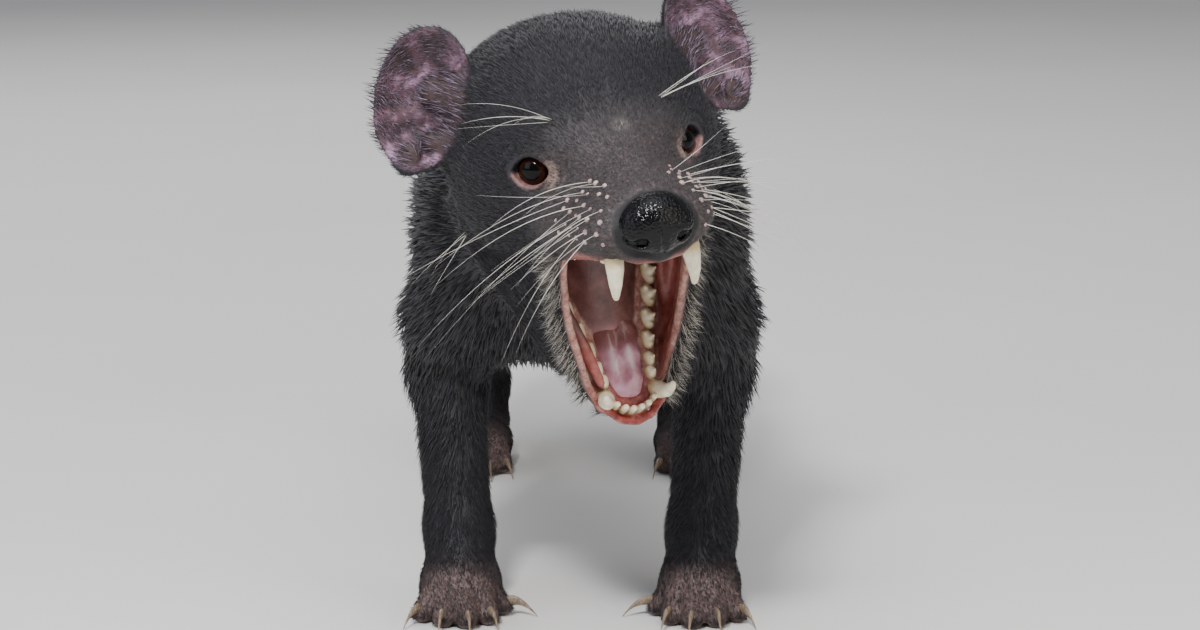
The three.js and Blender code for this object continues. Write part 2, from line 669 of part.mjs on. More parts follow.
// Everything on the side of a plane that its normal points to
const HALF_SPACE = 1200;
function halfSpace(at, normal, shift = 0) {
  const n = placed(normal).normalize();
  const box = new THREE.BoxGeometry(HALF_SPACE, HALF_SPACE, HALF_SPACE);
  box.translate(0, 0, HALF_SPACE / 2 + shift);
  box.applyQuaternion(new THREE.Quaternion().setFromUnitVectors(new THREE.Vector3(0, 0, 1), n));
  const p = placed(at);
  return solidFrom(box.translate(p.x, p.y, p.z));
}
function parted(solid, at, normal) {
  const back = normal.map((v) => -v);
  return [
    largest(solid.intersect(halfSpace(at, normal, GAP / 2))),
    largest(solid.intersect(halfSpace(at, back, GAP / 2))),
  ];
}

// A prism on an outline of the median plane or of a cross-section
function prismAcross(outline, halfWidth, move = [0, 0]) {
  const corners = outline.map(([ahead, up]) => new THREE.Vector2(ahead + move[0], up + move[1]));
  const shape = new THREE.Shape(corners);
  const geometry = new THREE.ExtrudeGeometry(shape, { depth: 2 * halfWidth, bevelEnabled: false });
  geometry.translate(0, 0, -halfWidth);
  // the outline's first number is ahead, on -Y, and the depth runs across
  const turn = new THREE.Matrix4().makeBasis(
    new THREE.Vector3(0, -1, 0),
    new THREE.Vector3(0, 0, 1),
    new THREE.Vector3(-1, 0, 0),
  );
  return solidFrom(geometry.applyMatrix4(turn));
}
function prismAlong(outline, from, to, grow = 0) {
  const sides = outline.map(([side]) => side);
  const ups = outline.map(([, up]) => up);
  const middle = [(Math.min(...sides) + Math.max(...sides)) / 2, (Math.min(...ups) + Math.max(...ups)) / 2];
  const corners = outline.map(
    ([side, up]) =>
      new THREE.Vector2(side + Math.sign(side - middle[0]) * grow, up + Math.sign(up - middle[1]) * grow),
  );
  const shape = new THREE.Shape(corners);
  const geometry = new THREE.ExtrudeGeometry(shape, { depth: to - from + 2 * grow, bevelEnabled: false });
  geometry.translate(0, 0, from - grow);
  const turn = new THREE.Matrix4().makeBasis(
    new THREE.Vector3(1, 0, 0),
    new THREE.Vector3(0, 0, 1),
    new THREE.Vector3(0, -1, 0),
  );
  return solidFrom(geometry.applyMatrix4(turn));
}
function roundSolid(at, radii, grow = 0, segments = 24) {
  const geometry = new THREE.SphereGeometry(1, segments, segments / 2);
  geometry.scale(radii[0] + grow, radii[1] + grow, radii[2] + grow);
  const p = placed(at);
  return solidFrom(geometry.translate(p.x, p.y, p.z));
}

// A tooth or claw: a cone of rings on a line from root to tip, bowed to one side
const SPIKE = { bow: [0, 0, 0], wide: 1, sides: 7, taperTo: 0.14, rings: [0, 0.3, 0.6, 0.85, 1], grow: 0 };
function spike(options) {
  const { root, tip, radius, bow, wide, sides, taperTo, rings, grow } = { ...SPIKE, ...options };
  const from = placed(root);
  const to = placed(tip);
  const length = from.distanceTo(to);
  const profile = [new THREE.Vector2(0, -grow)];
  for (const t of rings) {
    const width = radius * (1 - (1 - taperTo) * t ** 1.6) + grow;
    profile.push(new THREE.Vector2(width, t * length));
  }
  profile.push(new THREE.Vector2(0, length + radius * taperTo + grow));
  const geometry = new THREE.LatheGeometry(profile, sides);
  const along = to.clone().sub(from).normalize();
  const sideways = placed(bow).sub(along.clone().multiplyScalar(placed(bow).dot(along)));
  const depth = sideways.length();
  const across = (depth > 1e-6 ? sideways.clone() : new THREE.Vector3(1, 0, 0).cross(along)).normalize();
  const position = geometry.attributes.position;
  for (let i = 0; i < position.count; i++) {
    const t = position.getY(i) / length;
    position.setX(i, position.getX(i) * wide + depth * 4 * t * (1 - t));
  }
  const basis = new THREE.Matrix4().makeBasis(across, along, across.clone().cross(along)).setPosition(from);
  return solidFrom(geometry.applyMatrix4(basis));
}

// Teeth, as [side, ahead] at the gum, half length along the row and half breadth, and height
const UPPER_TEETH = [
  { at: [2.6, 51.5], size: [1.5, 1.2], high: 1 },
  { at: [6.4, 50.4], size: [1.5, 1.2], high: 1 },
  { at: [9.9, 48.8], size: [1.6, 1.3], high: 1.1 },
  { at: [17.4, 38.6], size: [2.6, 1.8], high: 4.4 },
  { at: [18.6, 32.8], size: [2.9, 2.0], high: 5 },
  { at: [19.8, 25.4], size: [4.0, 3.2], high: 5.6 },
  { at: [21.2, 16.6], size: [4.4, 3.6], high: 6.4 },
  { at: [22.8, 7.2], size: [4.6, 3.8], high: 6.6 },
  { at: [24.0, -0.6], size: [2.6, 3.2], high: 4.6 },
];
const LOWER_TEETH = [
  { at: [1.8, 53], size: [1.3, 1.2], high: 3.4 },
  { at: [4.4, 52.2], size: [1.3, 1.2], high: 3.6 },
  { at: [6.8, 50.8], size: [1.4, 1.2], high: 3.6 },
  { at: [10.2, 40.6], size: [2.4, 1.8], high: 4.4 },
  { at: [11.2, 34.9], size: [2.8, 1.9], high: 5 },
  { at: [12.7, 27.0], size: [3.8, 2.5], high: 5.8 },
  { at: [15.0, 18.4], size: [4.4, 2.8], high: 6.8 },
  { at: [17.7, 9.0], size: [4.7, 3.0], high: 7.6 },
  { at: [20.2, -0.4], size: [4.8, 3.0], high: 8 },
];
const UPPER_GUM_UP = -29.6;
const LOWER_GUM_UP = -38;
const ROOT_DEPTH = 3.4;

function toothRow(teeth, gumUp, upward) {
  return [-1, 1].flatMap((hand) =>
    teeth.map(({ at: [side, ahead], size: [long, broad], high }) =>
      spike({
        root: [hand * side, ahead, gumUp - upward * ROOT_DEPTH],
        tip: [hand * side, ahead - upward * 0.4, gumUp + upward * (high - 0.6)],
        radius: broad,
        bow: [0, 0.01, 0],
        wide: long / broad,
        taperTo: 0.42,
        rings: [0, 0.6, 1],
        sides: 5,
      }),
    ),
  );
}
const CANINE_SIDES = 9;
const upperCanines = [-1, 1].map((hand) =>
  spike({
    root: [hand * 15.5, 45.5, -27],
    tip: [hand * 16.2, 44.8, -45.2],
    bow: [hand * 0.6, 1.1, 0],
    radius: 4.3,
    taperTo: 0.24,
    sides: CANINE_SIDES,
  }),
);
const lowerCanines = [-1, 1].map((hand) =>
  spike({
    root: [hand * 10.2, 46.5, -43],
    tip: [hand * 14.4, 48.5, -24.6],
    bow: [hand * -0.3, 1.6, 0],
    radius: 3.8,
    taperTo: 0.2,
    sides: CANINE_SIDES,
  }),
);

// The head's solids, in the head's frame
const jawTurn = new THREE.Matrix4()
  .makeTranslation(0, -HINGE[1], HINGE[2])
  .multiply(new THREE.Matrix4().makeRotationX(GAPE))
  .multiply(new THREE.Matrix4().makeRotationZ(Math.atan(JAW_SWING)))
  .multiply(new THREE.Matrix4().makeTranslation(0, HINGE[1], -HINGE[2]));
const inJaw = (solid) => solid.transform(jawTurn.elements);

const NECK_CUT_AHEAD = -76;
let flesh = meshed(headFlesh, [-92, -92, -150], [92, 74, 72], FACE_CELL, FACE_FACES);
[flesh] = parted(flesh, [0, NECK_CUT_AHEAD, 0], [0, 1, 0]);

// An ear is cut off by a box that leans as the side of the head does there
const EAR_BOX = [44, 60, 76];
const EAR_CUT_AT = [54, -38, 22];
const EAR_CUT_TILT = Math.atan2(14, 48);
function earCutter(hand, grow) {
  const box = new THREE.BoxGeometry(EAR_BOX[0] + 2 * grow, EAR_BOX[1] + 2 * grow, EAR_BOX[2] + 2 * grow);
  box.translate(EAR_BOX[0] / 2, 0, 0);
  box.rotateY(-EAR_CUT_TILT);
  box.translate(EAR_CUT_AT[0], -EAR_CUT_AT[1], EAR_CUT_AT[2]);
  const solid = solidFrom(box);
  return hand < 0 ? solid.mirror([1, 0, 0]) : solid;
}
const ears = [-1, 1].map((hand) => largest(flesh.intersect(earCutter(hand, 0))));
for (const hand of [-1, 1]) flesh = flesh.subtract(earCutter(hand, GAP));
flesh = largest(flesh);

// Each nostril is a round hole low on the pad with a slit that runs out past the wing
const noseCut = (grow) => roundSolid([0, 58, -13.5], [16, 11, 13], grow, 18);
let nose = flesh.intersect(noseCut(0));
for (const hand of [-1, 1]) {
  nose = nose.subtract(roundSolid([hand * 7.4, 64.5, -18.6], [3.3, 4.5, 3.1], 0, 10));
  const slit = { root: [hand * 8.4, 64.5, -18], tip: [hand * 15, 58, -15], radius: 1.7 };
  nose = nose.subtract(spike({ ...slit, taperTo: 0.5, rings: [0, 1], sides: 6 }));
}
nose = largest(nose);
flesh = flesh.subtract(noseCut(GAP));

const tongueCut = (grow) => inJaw(roundSolid([0, 23, -42.5], [10.6, 27.5, 7.4], grow, 16));
const tongue = largest(flesh.intersect(tongueCut(0)));
flesh = flesh.subtract(tongueCut(GAP));

const [eyeSide, eyeAhead, eyeHigh] = EYE_CENTRE;
const EYE_SIDES = 16;
function eyeball(hand, grow) {
  const radii = [EYE_RADIUS, EYE_RADIUS, EYE_RADIUS];
  return roundSolid([hand * eyeSide, eyeAhead, eyeHigh], radii, grow, EYE_SIDES);
}
const eyes = [-1, 1].map((hand) => eyeball(hand, 0));
for (const hand of [-1, 1]) flesh = flesh.subtract(eyeball(hand, GAP));

const JAW_CUT = THREE.MathUtils.degToRad(-34);
const FAR = 220;
const jawOutline = [
  [HINGE[1], HINGE[2]],
  [HINGE[1] + FAR * Math.cos(JAW_CUT), HINGE[2] + FAR * Math.sin(JAW_CUT)],
  [HINGE[1] + FAR * Math.cos(JAW_CUT), HINGE[2] - FAR],
  [HINGE[1] - FAR, HINGE[2] - FAR],
  [HINGE[1] - FAR, HINGE[2]],
];
const HALF_SPAN = 120; // past the animal's flanks
let jaw = largest(flesh.intersect(prismAcross(jawOutline, HALF_SPAN, [-0.3 * GAP, -GAP])));
let head = largest(flesh.subtract(prismAcross(jawOutline, HALF_SPAN)));
for (const tooth of [...toothRow(UPPER_TEETH, UPPER_GUM_UP, -1), ...upperCanines]) head = head.add(tooth);
for (const tooth of [...toothRow(LOWER_TEETH, LOWER_GUM_UP, 1), ...lowerCanines]) jaw = jaw.add(inJaw(tooth));
head = largest(head);
jaw = largest(jaw.subtract(tongueCut(GAP)));

// The body's solids
const neckAt = fromHead([0, NECK_CUT_AHEAD, 0]);
const neckFaces = fromHead([0, NECK_CUT_AHEAD + 1, 0]).map((v, i) => v - neckAt[i]);
let body = meshed(bodyFlesh, [-104, -500, -12], [104, 236, 300], BODY_CELL, BODY_FACES);
[, body] = parted(body, neckAt, neckFaces);
const [neckSolid, back] = parted(body, [0, 112, 190], [0, 1, 0.15]);
const TAIL_OUTLINE = [[-206, 300], [-232, 120], [-238, -30], [-700, -30], [-700, 300]];
const tailSolid = largest(back.intersect(prismAcross(TAIL_OUTLINE, HALF_SPAN)));
let torso = largest(back.subtract(prismAcross(TAIL_OUTLINE, HALF_SPAN, [GAP, 0])));

const FORE_CUT = [[22, 108], [110, 168], [110, -20], [22, -20]];
const HIND_CUT = [[18, 96], [110, 186], [110, -20], [18, -20]];
const FORE_SPAN = [48, 176];
const HIND_SPAN = [-250, -104];
const WRIST_UP = 30;
const ANKLE_UP = 32;
const KNEE_UP = 88;

// Paws are meshed again on a finer lattice, from a box about each, and cut flat at the floor
const PAW_BOX = [14, 96]; // the box's sides, from the midline
const PAW_MARGIN = 14;
function paws(ahead, span, cutUp) {
  return [-1, 1].map((hand) => {
    const sides = PAW_BOX.map((side) => hand * side).sort((a, b) => a - b);
    const low = [sides[0], ahead + span[0], -PAW_MARGIN];
    const high = [sides[1], ahead + span[1], cutUp + PAW_MARGIN];
    const solid = meshed(bodyFlesh, low, high, PAW_CELL, PAW_FACES);
    const standing = solid.intersect(halfSpace([0, 0, 0], [0, 0, 1]));
    return parted(largest(standing), [0, 0, cutUp], [0, 0, -1])[0];
  });
}
const forePaws = paws(FORE_PAW_AHEAD, [-42, 50], WRIST_UP);
const hindPaws = paws(HIND_PAW_AHEAD, [-56, 52], ANKLE_UP);

const legs = [];
for (const hand of [-1, 1]) {
  for (const [outline, span, name, cutUp] of [
    [FORE_CUT, FORE_SPAN, "fore", WRIST_UP],
    [HIND_CUT, HIND_SPAN, "hind", ANKLE_UP],
  ]) {
    const own = outline.map(([side, up]) => [hand * side, up]);
    if (hand < 0) own.reverse();
    const whole = largest(torso.intersect(prismAlong(own, span[0], span[1])));
    torso = torso.subtract(prismAlong(own, span[0], span[1], GAP));
    const [, above] = parted(whole, [0, 0, cutUp], [0, 0, -1]);
    legs.push({ name, hand, above });
  }
}
torso = largest(torso);

// Claws, each set in the end of its toe
const CLAW_LENGTH = 14.5;
const CLAW_ROOT_DEPTH = 4.5;
const CLAW = { radius: 2.1, bow: [0, 0, 2.4], wide: 1.25, taperTo: 0.16, rings: [0, 0.4, 0.75, 1], sides: 5 };
function claws(toes, ahead, hand) {
  return toes.map(({ from, to, up, radius }) => {
    const heading = new THREE.Vector2(to[0] - from[0], to[1] - from[1]).normalize();
    const inward = radius - CLAW_ROOT_DEPTH;
    const root = [PAW_SIDE + to[0] + heading.x * inward, ahead + to[1] + heading.y * inward, up + 2.2];
    const tip = [root[0] + heading.x * CLAW_LENGTH, root[1] + heading.y * CLAW_LENGTH, 1.4];
    return (grow) =>
      spike({
        ...CLAW,
        root: [hand * root[0], root[1], root[2]],
        tip: [hand * tip[0], tip[1], tip[2]],
        grow,
      });
  });
}

// The animal, with the head's nodes in a group turned as the head is
function material(color, roughness = 0.85) {
  return new THREE.MeshStandardMaterial({ color, roughness, metalness: 0 });
}

const animal = new THREE.Group();
const skull = new THREE.Group();
skull.position.copy(headPlace);
skull.rotation.copy(headEuler);
animal.add(skull);
function add(parent, name, solid, color, roughness) {
  const mesh = new THREE.Mesh(geometryOf(solid), material(color, roughness));
  mesh.name = name;
  parent.add(mesh);
}
const HANDS = [
  [-1, "right"],
  [1, "left"],
];
add(skull, "head", head, "#26242a");
add(skull, "lower_jaw", jaw, "#2b272b");
add(skull, "tongue", tongue, "#b8747c", 0.4);
add(skull, "nose_pad", nose, "#17171b", 0.3);
HANDS.forEach(([hand, word], i) => {
  add(skull, `ear_${word}`, ears[i], "#6b4a57");
  add(skull, `eye_${word}`, eyes[i], "#2a130c", 0.1);
});
add(animal, "neck", neckSolid, "#232127");
add(animal, "torso", torso, "#201f25");
add(animal, "tail", tailSolid, "#201f25");
for (const { name, hand, above } of legs) {
  const word = hand > 0 ? "left" : "right";
  if (name === "fore") {
    add(animal, `fore_leg_${word}`, above, "#1f1e24");
    continue;
  }
  const [shankSolid, thighSolid] = parted(above, [0, 0, KNEE_UP], [0, 0, -1]);
  add(animal, `thigh_${word}`, thighSolid, "#1f1e24");
  add(animal, `hind_leg_${word}`, shankSolid, "#1f1e24");
}
const PAWS = [
  { end: "fore", solids: forePaws, toes: FORE_TOES, ahead: FORE_PAW_AHEAD },
  { end: "hind", solids: hindPaws, toes: HIND_TOES, ahead: HIND_PAW_AHEAD },
];
HANDS.forEach(([hand, word], i) => {
  for (const { end, solids, toes, ahead } of PAWS) {
    let paw = solids[i];
    claws(toes, ahead, hand).forEach((claw, n) => {
      paw = paw.subtract(claw(GAP));
      add(animal, `${end}_claw_${word}_${n + 1}`, claw(0), "#b9a58c", 0.5);
    });
    add(animal, `${end}_paw_${word}`, largest(paw), "#3a3336");
  }
});

// The origin goes to the middle of the whole animal, at floor level
const box = new THREE.Box3().setFromObject(animal, true);
animal.position.set(-(box.min.x + box.max.x) / 2, -(box.min.y + box.max.y) / 2, -box.min.z);

export default animal;
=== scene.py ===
"""A Tasmanian devil standing with its mouth wide open, life size.

Its skin, coat, eyes, nose, teeth, tongue, claws and whiskers are dressed over the solids of the
same animal. Places are written [side, ahead, up] in millimetres: side is positive to the
animal's left and ahead is towards its nose. They become metres when a mesh is made.
"""

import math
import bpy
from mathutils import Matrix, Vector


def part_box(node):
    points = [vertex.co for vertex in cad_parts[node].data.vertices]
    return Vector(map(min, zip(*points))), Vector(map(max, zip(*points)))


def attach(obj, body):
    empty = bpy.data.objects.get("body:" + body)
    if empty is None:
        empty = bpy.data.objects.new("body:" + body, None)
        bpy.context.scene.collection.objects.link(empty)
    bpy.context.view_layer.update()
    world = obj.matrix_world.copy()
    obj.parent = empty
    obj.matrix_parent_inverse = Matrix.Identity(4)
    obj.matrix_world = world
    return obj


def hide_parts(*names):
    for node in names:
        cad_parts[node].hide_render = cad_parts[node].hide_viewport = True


bl_info = {
    "name": "Tasmanian Devil",
    "version": (1, 0, 0),
    "blender": (4, 5, 0),
    "location": "View3D > Sidebar > Devil",
    "description": "Skin, coat, eyes, teeth and studio for a life-size Tasmanian devil",
    "category": "Add Mesh",
}

import bpy
import numpy as np
import openvdb
from bpy.props import FloatProperty, IntProperty, PointerProperty, StringProperty
from mathutils import Matrix, Vector

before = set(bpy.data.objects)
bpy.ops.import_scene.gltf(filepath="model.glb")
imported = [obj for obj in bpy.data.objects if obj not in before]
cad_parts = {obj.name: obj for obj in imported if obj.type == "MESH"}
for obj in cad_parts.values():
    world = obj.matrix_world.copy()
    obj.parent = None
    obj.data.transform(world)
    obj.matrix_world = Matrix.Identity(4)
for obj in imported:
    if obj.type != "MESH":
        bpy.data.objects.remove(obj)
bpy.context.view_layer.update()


def direction(*parts):
    return np.array(parts) / np.linalg.norm(parts)


# Sizes of the body that the solids were made from
PAW_SIDE = 53
FORE_PAW_AHEAD = 130
HIND_PAW_AHEAD = -176
WITHERS_UP = 262
RUMP_UP = 236

# Sizes of the head, in its own frame, whose origin is midway between the eyes
HEAD_AT = np.array([12.0, 250.0, 220.0])
HEAD_TURN = math.radians(17.6)
HEAD_NOD = math.radians(6.6)
HEAD_TILT = math.radians(-9)
HEAD_REACH = 136
EYE_RADIUS = 8.2
EYE_CENTRE = np.array([28.8, -3.0, -1.0])
EYE_LOOKS = direction(0.6, 0.79, 0.1)
EYE_OPENING = (7.7, 5.8)
LID_THICKNESS = 1.2
NOSE_AT = (0, 56, -14)
CROWN_UP = 38

# The jaw turns on a hinge across the head
HINGE = (0, -40, -23)
GAPE = math.radians(64.7)
JAW_SWING = 0.028

# The ear, a dished sheet in a frame of its own: across, along to the tip, and out of the cup
EAR_AT = np.array([62.0, -46.0, 24.0])
EAR_ALONG = direction(-0.34, -0.06, 0.94)
EAR_FACES = direction(0.42, 0.88, 0.2)
EAR_HALF = (21, 31)
EAR_DISH = 13
EAR_THICKNESS = 2.4

# The mouth's hollow: up is in the head's frame above the jaw, and in the jaw's below it
PALATE_UP = -24
FLOOR_UP = -43
THROAT_AHEAD = -29
MOUTH_HALF = 24
CHIN_WALL = (48, -38)
FRONT_LIP = (50.5, -32)

# The cheek, a sheet of skin stretched between the jaws: its upper end, how far down it goes, and how thick
CHEEK_TOP_UP = -36
CHEEK_FALL = 70
CHEEK_THICKNESS = 6.5

# From one ridge of the palate, and one wrinkle of the drawn-back muzzle, to the next
PALATE_RIDGES = 7.5
SNARL_WRINKLES = 6.5

# How much finer the lips and cheeks are than the solids that stand for them
LIP_THINNED = 1.7
CHEEK_HALF = 1.9

MM = 0.001
SEED = 20


def smooth(value, start, end):
    """0 at start and 1 at end, easing in and out."""
    t = np.clip((value - start) / (end - start), 0, 1)
    return t * t * (3 - 2 * t)


def mix(a, b, share):
    return a + (b - a) * share


def unit(vectors):
    return vectors / np.maximum(np.linalg.norm(vectors, axis=-1, keepdims=True), 1e-9)


# Frames of the head and the jaw

AHEAD_IS_BACK = np.diag([1.0, -1.0, 1.0])
head_turned = Matrix.Rotation(HEAD_TURN, 3, "Z")
head_turned = head_turned @ Matrix.Rotation(HEAD_NOD, 3, "X") @ Matrix.Rotation(HEAD_TILT, 3, "Y")
HEAD_AXES = AHEAD_IS_BACK @ np.array(head_turned) @ AHEAD_IS_BACK


def from_head(points):
    return np.asarray(points, float) @ HEAD_AXES.T + HEAD_AT


def to_head(x, y, z):
    px, py, pz = x - HEAD_AT[0], y - HEAD_AT[1], z - HEAD_AT[2]
    return [HEAD_AXES[0, i] * px + HEAD_AXES[1, i] * py + HEAD_AXES[2, i] * pz for i in range(3)]


def to_jaw(x, y, z):
    """Where a point of the head lies on the jaw as if the mouth were shut."""
    back, up = y - HINGE[1], z - HINGE[2]
    ahead = back * math.cos(GAPE) - up * math.sin(GAPE)
    return x - JAW_SWING * ahead, HINGE[1] + ahead, HINGE[2] + back * math.sin(GAPE) + up * math.cos(GAPE)


def from_jaw(points):
    points = np.asarray(points, float)
    ahead, up = points[..., 1] - HINGE[1], points[..., 2] - HINGE[2]
    y = HINGE[1] + ahead * math.cos(GAPE) + up * math.sin(GAPE)
    z = HINGE[2] - ahead * math.sin(GAPE) + up * math.cos(GAPE)
    return np.stack([points[..., 0] + JAW_SWING * ahead, y, z], -1)


def middle_of(node):
    low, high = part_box(node)
    return (np.array(low) + np.array(high)) / 2 / MM


# The solids' own origin, found from the place of their eyes
eyes_middle = (middle_of("eye_left") + middle_of("eye_right")) / 2
ORIGIN = eyes_middle - from_head([0, EYE_CENTRE[1], EYE_CENTRE[2]]) * [1, -1, 1]


def to_metres(points):
    return (np.asarray(points, float) * [1, -1, 1] + ORIGIN) * MM


# Fields of distance, negative inside


def ball(centre, radii):
    def field(x, y, z):
        px, py, pz = [(v - c) / r for v, c, r in zip((x, y, z), centre, radii)]
        near = np.sqrt(px * px + py * py + pz * pz)
        slope = np.sqrt((px / radii[0]) ** 2 + (py / radii[1]) ** 2 + (pz / radii[2]) ** 2)
        return np.where(slope > 1e-6, near * (near - 1) / np.maximum(slope, 1e-6), -min(radii))

    return field


def taper(start, start_radius, end, end_radius):
    dx, dy, dz = [e - s for s, e in zip(start, end)]
    length2 = dx * dx + dy * dy + dz * dz

    def field(x, y, z):
        px, py, pz = x - start[0], y - start[1], z - start[2]
        t = np.clip((px * dx + py * dy + pz * dz) / length2, 0, 1)
        off = np.sqrt((px - t * dx) ** 2 + (py - t * dy) ** 2 + (pz - t * dz) ** 2)
        return off - start_radius - t * (end_radius - start_radius)

    return field


def soft_min(a, b, k):
    h = np.maximum(k - np.abs(a - b), 0) / k
    return np.minimum(a, b) - h * h * k / 4


def soft_max(a, b, k):
    return -soft_min(-a, -b, k)


def nearest(*fields):
    def field(x, y, z):
        d = fields[0](x, y, z)
        for other in fields[1:]:
            d = np.minimum(d, other(x, y, z))
        return d

    return field


def chain(*knots):
    """Tapers through points that each end with their radius."""
    return nearest(*[taper(a[:3], a[3], b[:3], b[3]) for a, b in zip(knots, knots[1:])])


def blend(k, *fields):
    def field(x, y, z):
        d = fields[0](x, y, z)
        for other in fields[1:]:
            d = soft_min(d, other(x, y, z), k)
        return d

    return field


# The body's forms, for its left half

trunk = blend(
    34,
    ball((0, 92, 178), (66, 72, 74)),
    ball((0, 78, WITHERS_UP - 58), (52, 78, 56)),
    ball((0, -40, 164), (70, 118, 62)),
    ball((0, -20, WITHERS_UP - 66), (50, 120, 58)),
    ball((0, -158, RUMP_UP - 66), (60, 68, 64)),
)
tail = chain(
    (0, -205, 188, 30),
    (0, -262, 170, 25),
    (0, -340, 139, 19.5),
    (0, -418, 108, 13.5),
    (0, -470, 88, 6.5),
)
shoulder = ball((46, 112, 158), (30, 38, 52))
fore_arm = blend(
    10,
    taper((56, 104, 128), 30, (59, 92, 104), 24),
    taper((59, 92, 104), 22, (PAW_SIDE + 1, 116, 34), 14.5),
    taper((PAW_SIDE + 1, 116, 34), 14.5, (PAW_SIDE, 124, 18), 15),
)
thigh = ball((44, -158, 138), (32, 50, 56))
shank = blend(
    10,
    taper((56, -138, 104), 29, (57, -180, 68), 18),
    taper((57, -180, 68), 18, (PAW_SIDE, -206, 40), 13),
    taper((PAW_SIDE, -206, 40), 13, (PAW_SIDE, -200, 22), 13.5),
)

# A toe: where it leaves the paw and where it ends, beside and ahead of the paw's middle, and how thick
TOE_UP = 4.4
FORE_TOES = [((-10, 6), (-19, 8), 5.6), ((-9, 12), (-13, 24), 6), ((-2, 14), (-4, 30), 6.3)]
FORE_TOES += [((5, 13), (6.5, 28), 6.2), ((10, 9), (16, 20), 5.8)]
HIND_TOES = [((-8, 14), (-12, 26), 5.7), ((-2, 16), (-4, 31), 6.1)]
HIND_TOES += [((5, 15), (5, 30), 6.1), ((10, 11), (14, 23), 5.7)]


def paw(ahead, toes, pad):
    digits = []
    for start, end, radius in toes:
        knuckle = (PAW_SIDE + start[0], ahead + start[1], TOE_UP + 6)
        digits.append(taper(knuckle, radius + 1.5, (PAW_SIDE + end[0], ahead + end[1], TOE_UP), radius))
    return blend(7, pad, blend(2.2, *digits))


fore_pad = blend(6, ball((PAW_SIDE, 130, 12), (18.5, 18, 14)), ball((PAW_SIDE, 118, 9), (13, 13, 12)))
hind_sole = taper((PAW_SIDE, -202, 13), 12.5, (PAW_SIDE, -176, 12), 12)
hind_pad = blend(8, ball((PAW_SIDE, -176, 12), (16.5, 22, 13.5)), hind_sole)
fore_paw = paw(FORE_PAW_AHEAD, FORE_TOES, fore_pad)
hind_paw = paw(HIND_PAW_AHEAD, HIND_TOES, hind_pad)
neck = blend(
    24,
    taper(from_head([0, -52, -6]), 54, (0, 118, 190), 66),
    taper(from_head([0, -56, -38]), 40, (0, 128, 160), 52),
)


def body_field(x, y, z):
    side = np.abs(x)
    d = soft_min(trunk(side, y, z), neck(x, y, z), 26)
    d = soft_min(d, tail(side, y, z), 24)
    d = soft_min(d, soft_min(shoulder(side, y, z), fore_arm(side, y, z), 14), 26)
    d = soft_min(d, soft_min(thigh(side, y, z), shank(side, y, z), 16), 24)
    d = soft_min(d, fore_paw(side, y, z), 9)
    return soft_min(d, hind_paw(side, y, z), 9)


# The head's forms, for its left half

cranium = blend(
    14,
    ball((0, -38, 3), (46, 48, CROWN_UP - 4)),
    ball((24, -50, 14), (24, 30, 21)),
    ball((31, -30, -13), (23.5, 33, 26)),
    ball((19, -2, 6), (15, 16, 12)),
    taper((0, -8, -2), 25, (0, 38, -13), 15),
    ball((14.5, 37, -17.5), (14.5, 20, 12)),
    ball((24, 6, -20), (13, 22, 13)),
)
nose_wing = ball((8.5, 54, -17), (6.8, 9, 7.6))
nose_pad = blend(3, ball(NOSE_AT, (14.6, 10, 12.2)), nose_wing, ball((0, 56, -21), (5, 7, 7)))
upper_lip = chain(
    (0, 55, -27.6, 4.2),
    (8, 53.4, -27, 4.3),
    (13, 50, -25, 4.4),
    (19.5, 36, -27, 4.8),
    (24.5, 20, -30, 5),
    (27.5, 6, -32.5, 5.4),
)
mandible = blend(
    8,
    chain(
        (33, -34, -42, 14),
        (26, -6, -46, 11),
        (16, 24, -45.5, 8.5),
        (8, 45, -45, 6.6),
        (0, 52.5, -45, 6.4),
    ),
    ball((0, 10, -51), (19, 36, 9)),
    ball((0, -26, -48), (32, 24, 16)),
    ball((0, 44, -47.5), (10, 12, 5)),
)
throat_flesh = ball((0, -38, -64), (26, 14, 28))
lower_lip = chain(
    (0, 59.5, -40.5, 3.4),
    (7, 57.5, -40.3, 3.4),
    (13.4, 50.5, -38.8, 3.5),
    (17.5, 42, -33.5, 3.8),
    (20.3, 34, -26, 4),
    (22.4, 27.2, -19, 4.2),
    (24.6, 17.4, -11.4, 4.3),
    (26, 8.2, -3, 4.4),
    (27, 0, 7, 4.6),
    (27.4, -5, 13, 4.8),
    (27.5, -10, 17, 5),
)
upper_gum = chain(
    (0, 49, -25, 3.4),
    (10, 47, -25.6, 3.8),
    (16, 40, -26, 4.2),
    (18.5, 22, -26, 4.4),
    (21.5, 0, -26, 4.6),
)
lower_gum = chain(
    (0, 51.5, -42, 3),
    (6.5, 49.5, -42, 3.3),
    (10.3, 42, -42.3, 3.6),
    (12.7, 27, -42.3, 3.9),
    (17, 10, -42, 4.2),
    (20.5, -4, -42, 4.4),
)
# The wall below the lip, which joins it to the jaw
lip_wall = blend(
    2,
    chain((23, 27, -25, 2.6), (20.4, 34, -31.5, 2.8), (17.6, 42, -37.5, 2.8), (13, 50, -41.5, 2.8)),
    chain((23, 24, -32, 3), (20, 32, -37, 3), (16.4, 41, -41, 3), (10, 50, -43.5, 3)),
)
# On the animal's right the lip's lining folds over the outer half of the teeth
lip_fold = chain(
    (-12.4, 41, -35.5, 2),
    (-14.4, 34.9, -32.8, 2.5),
    (-16.2, 27, -31.2, 2.8),
    (-18.6, 18.4, -29.8, 2.8),
    (-21.3, 9, -28.2, 2.8),
    (-23.5, 0, -26.5, 2.6),
)
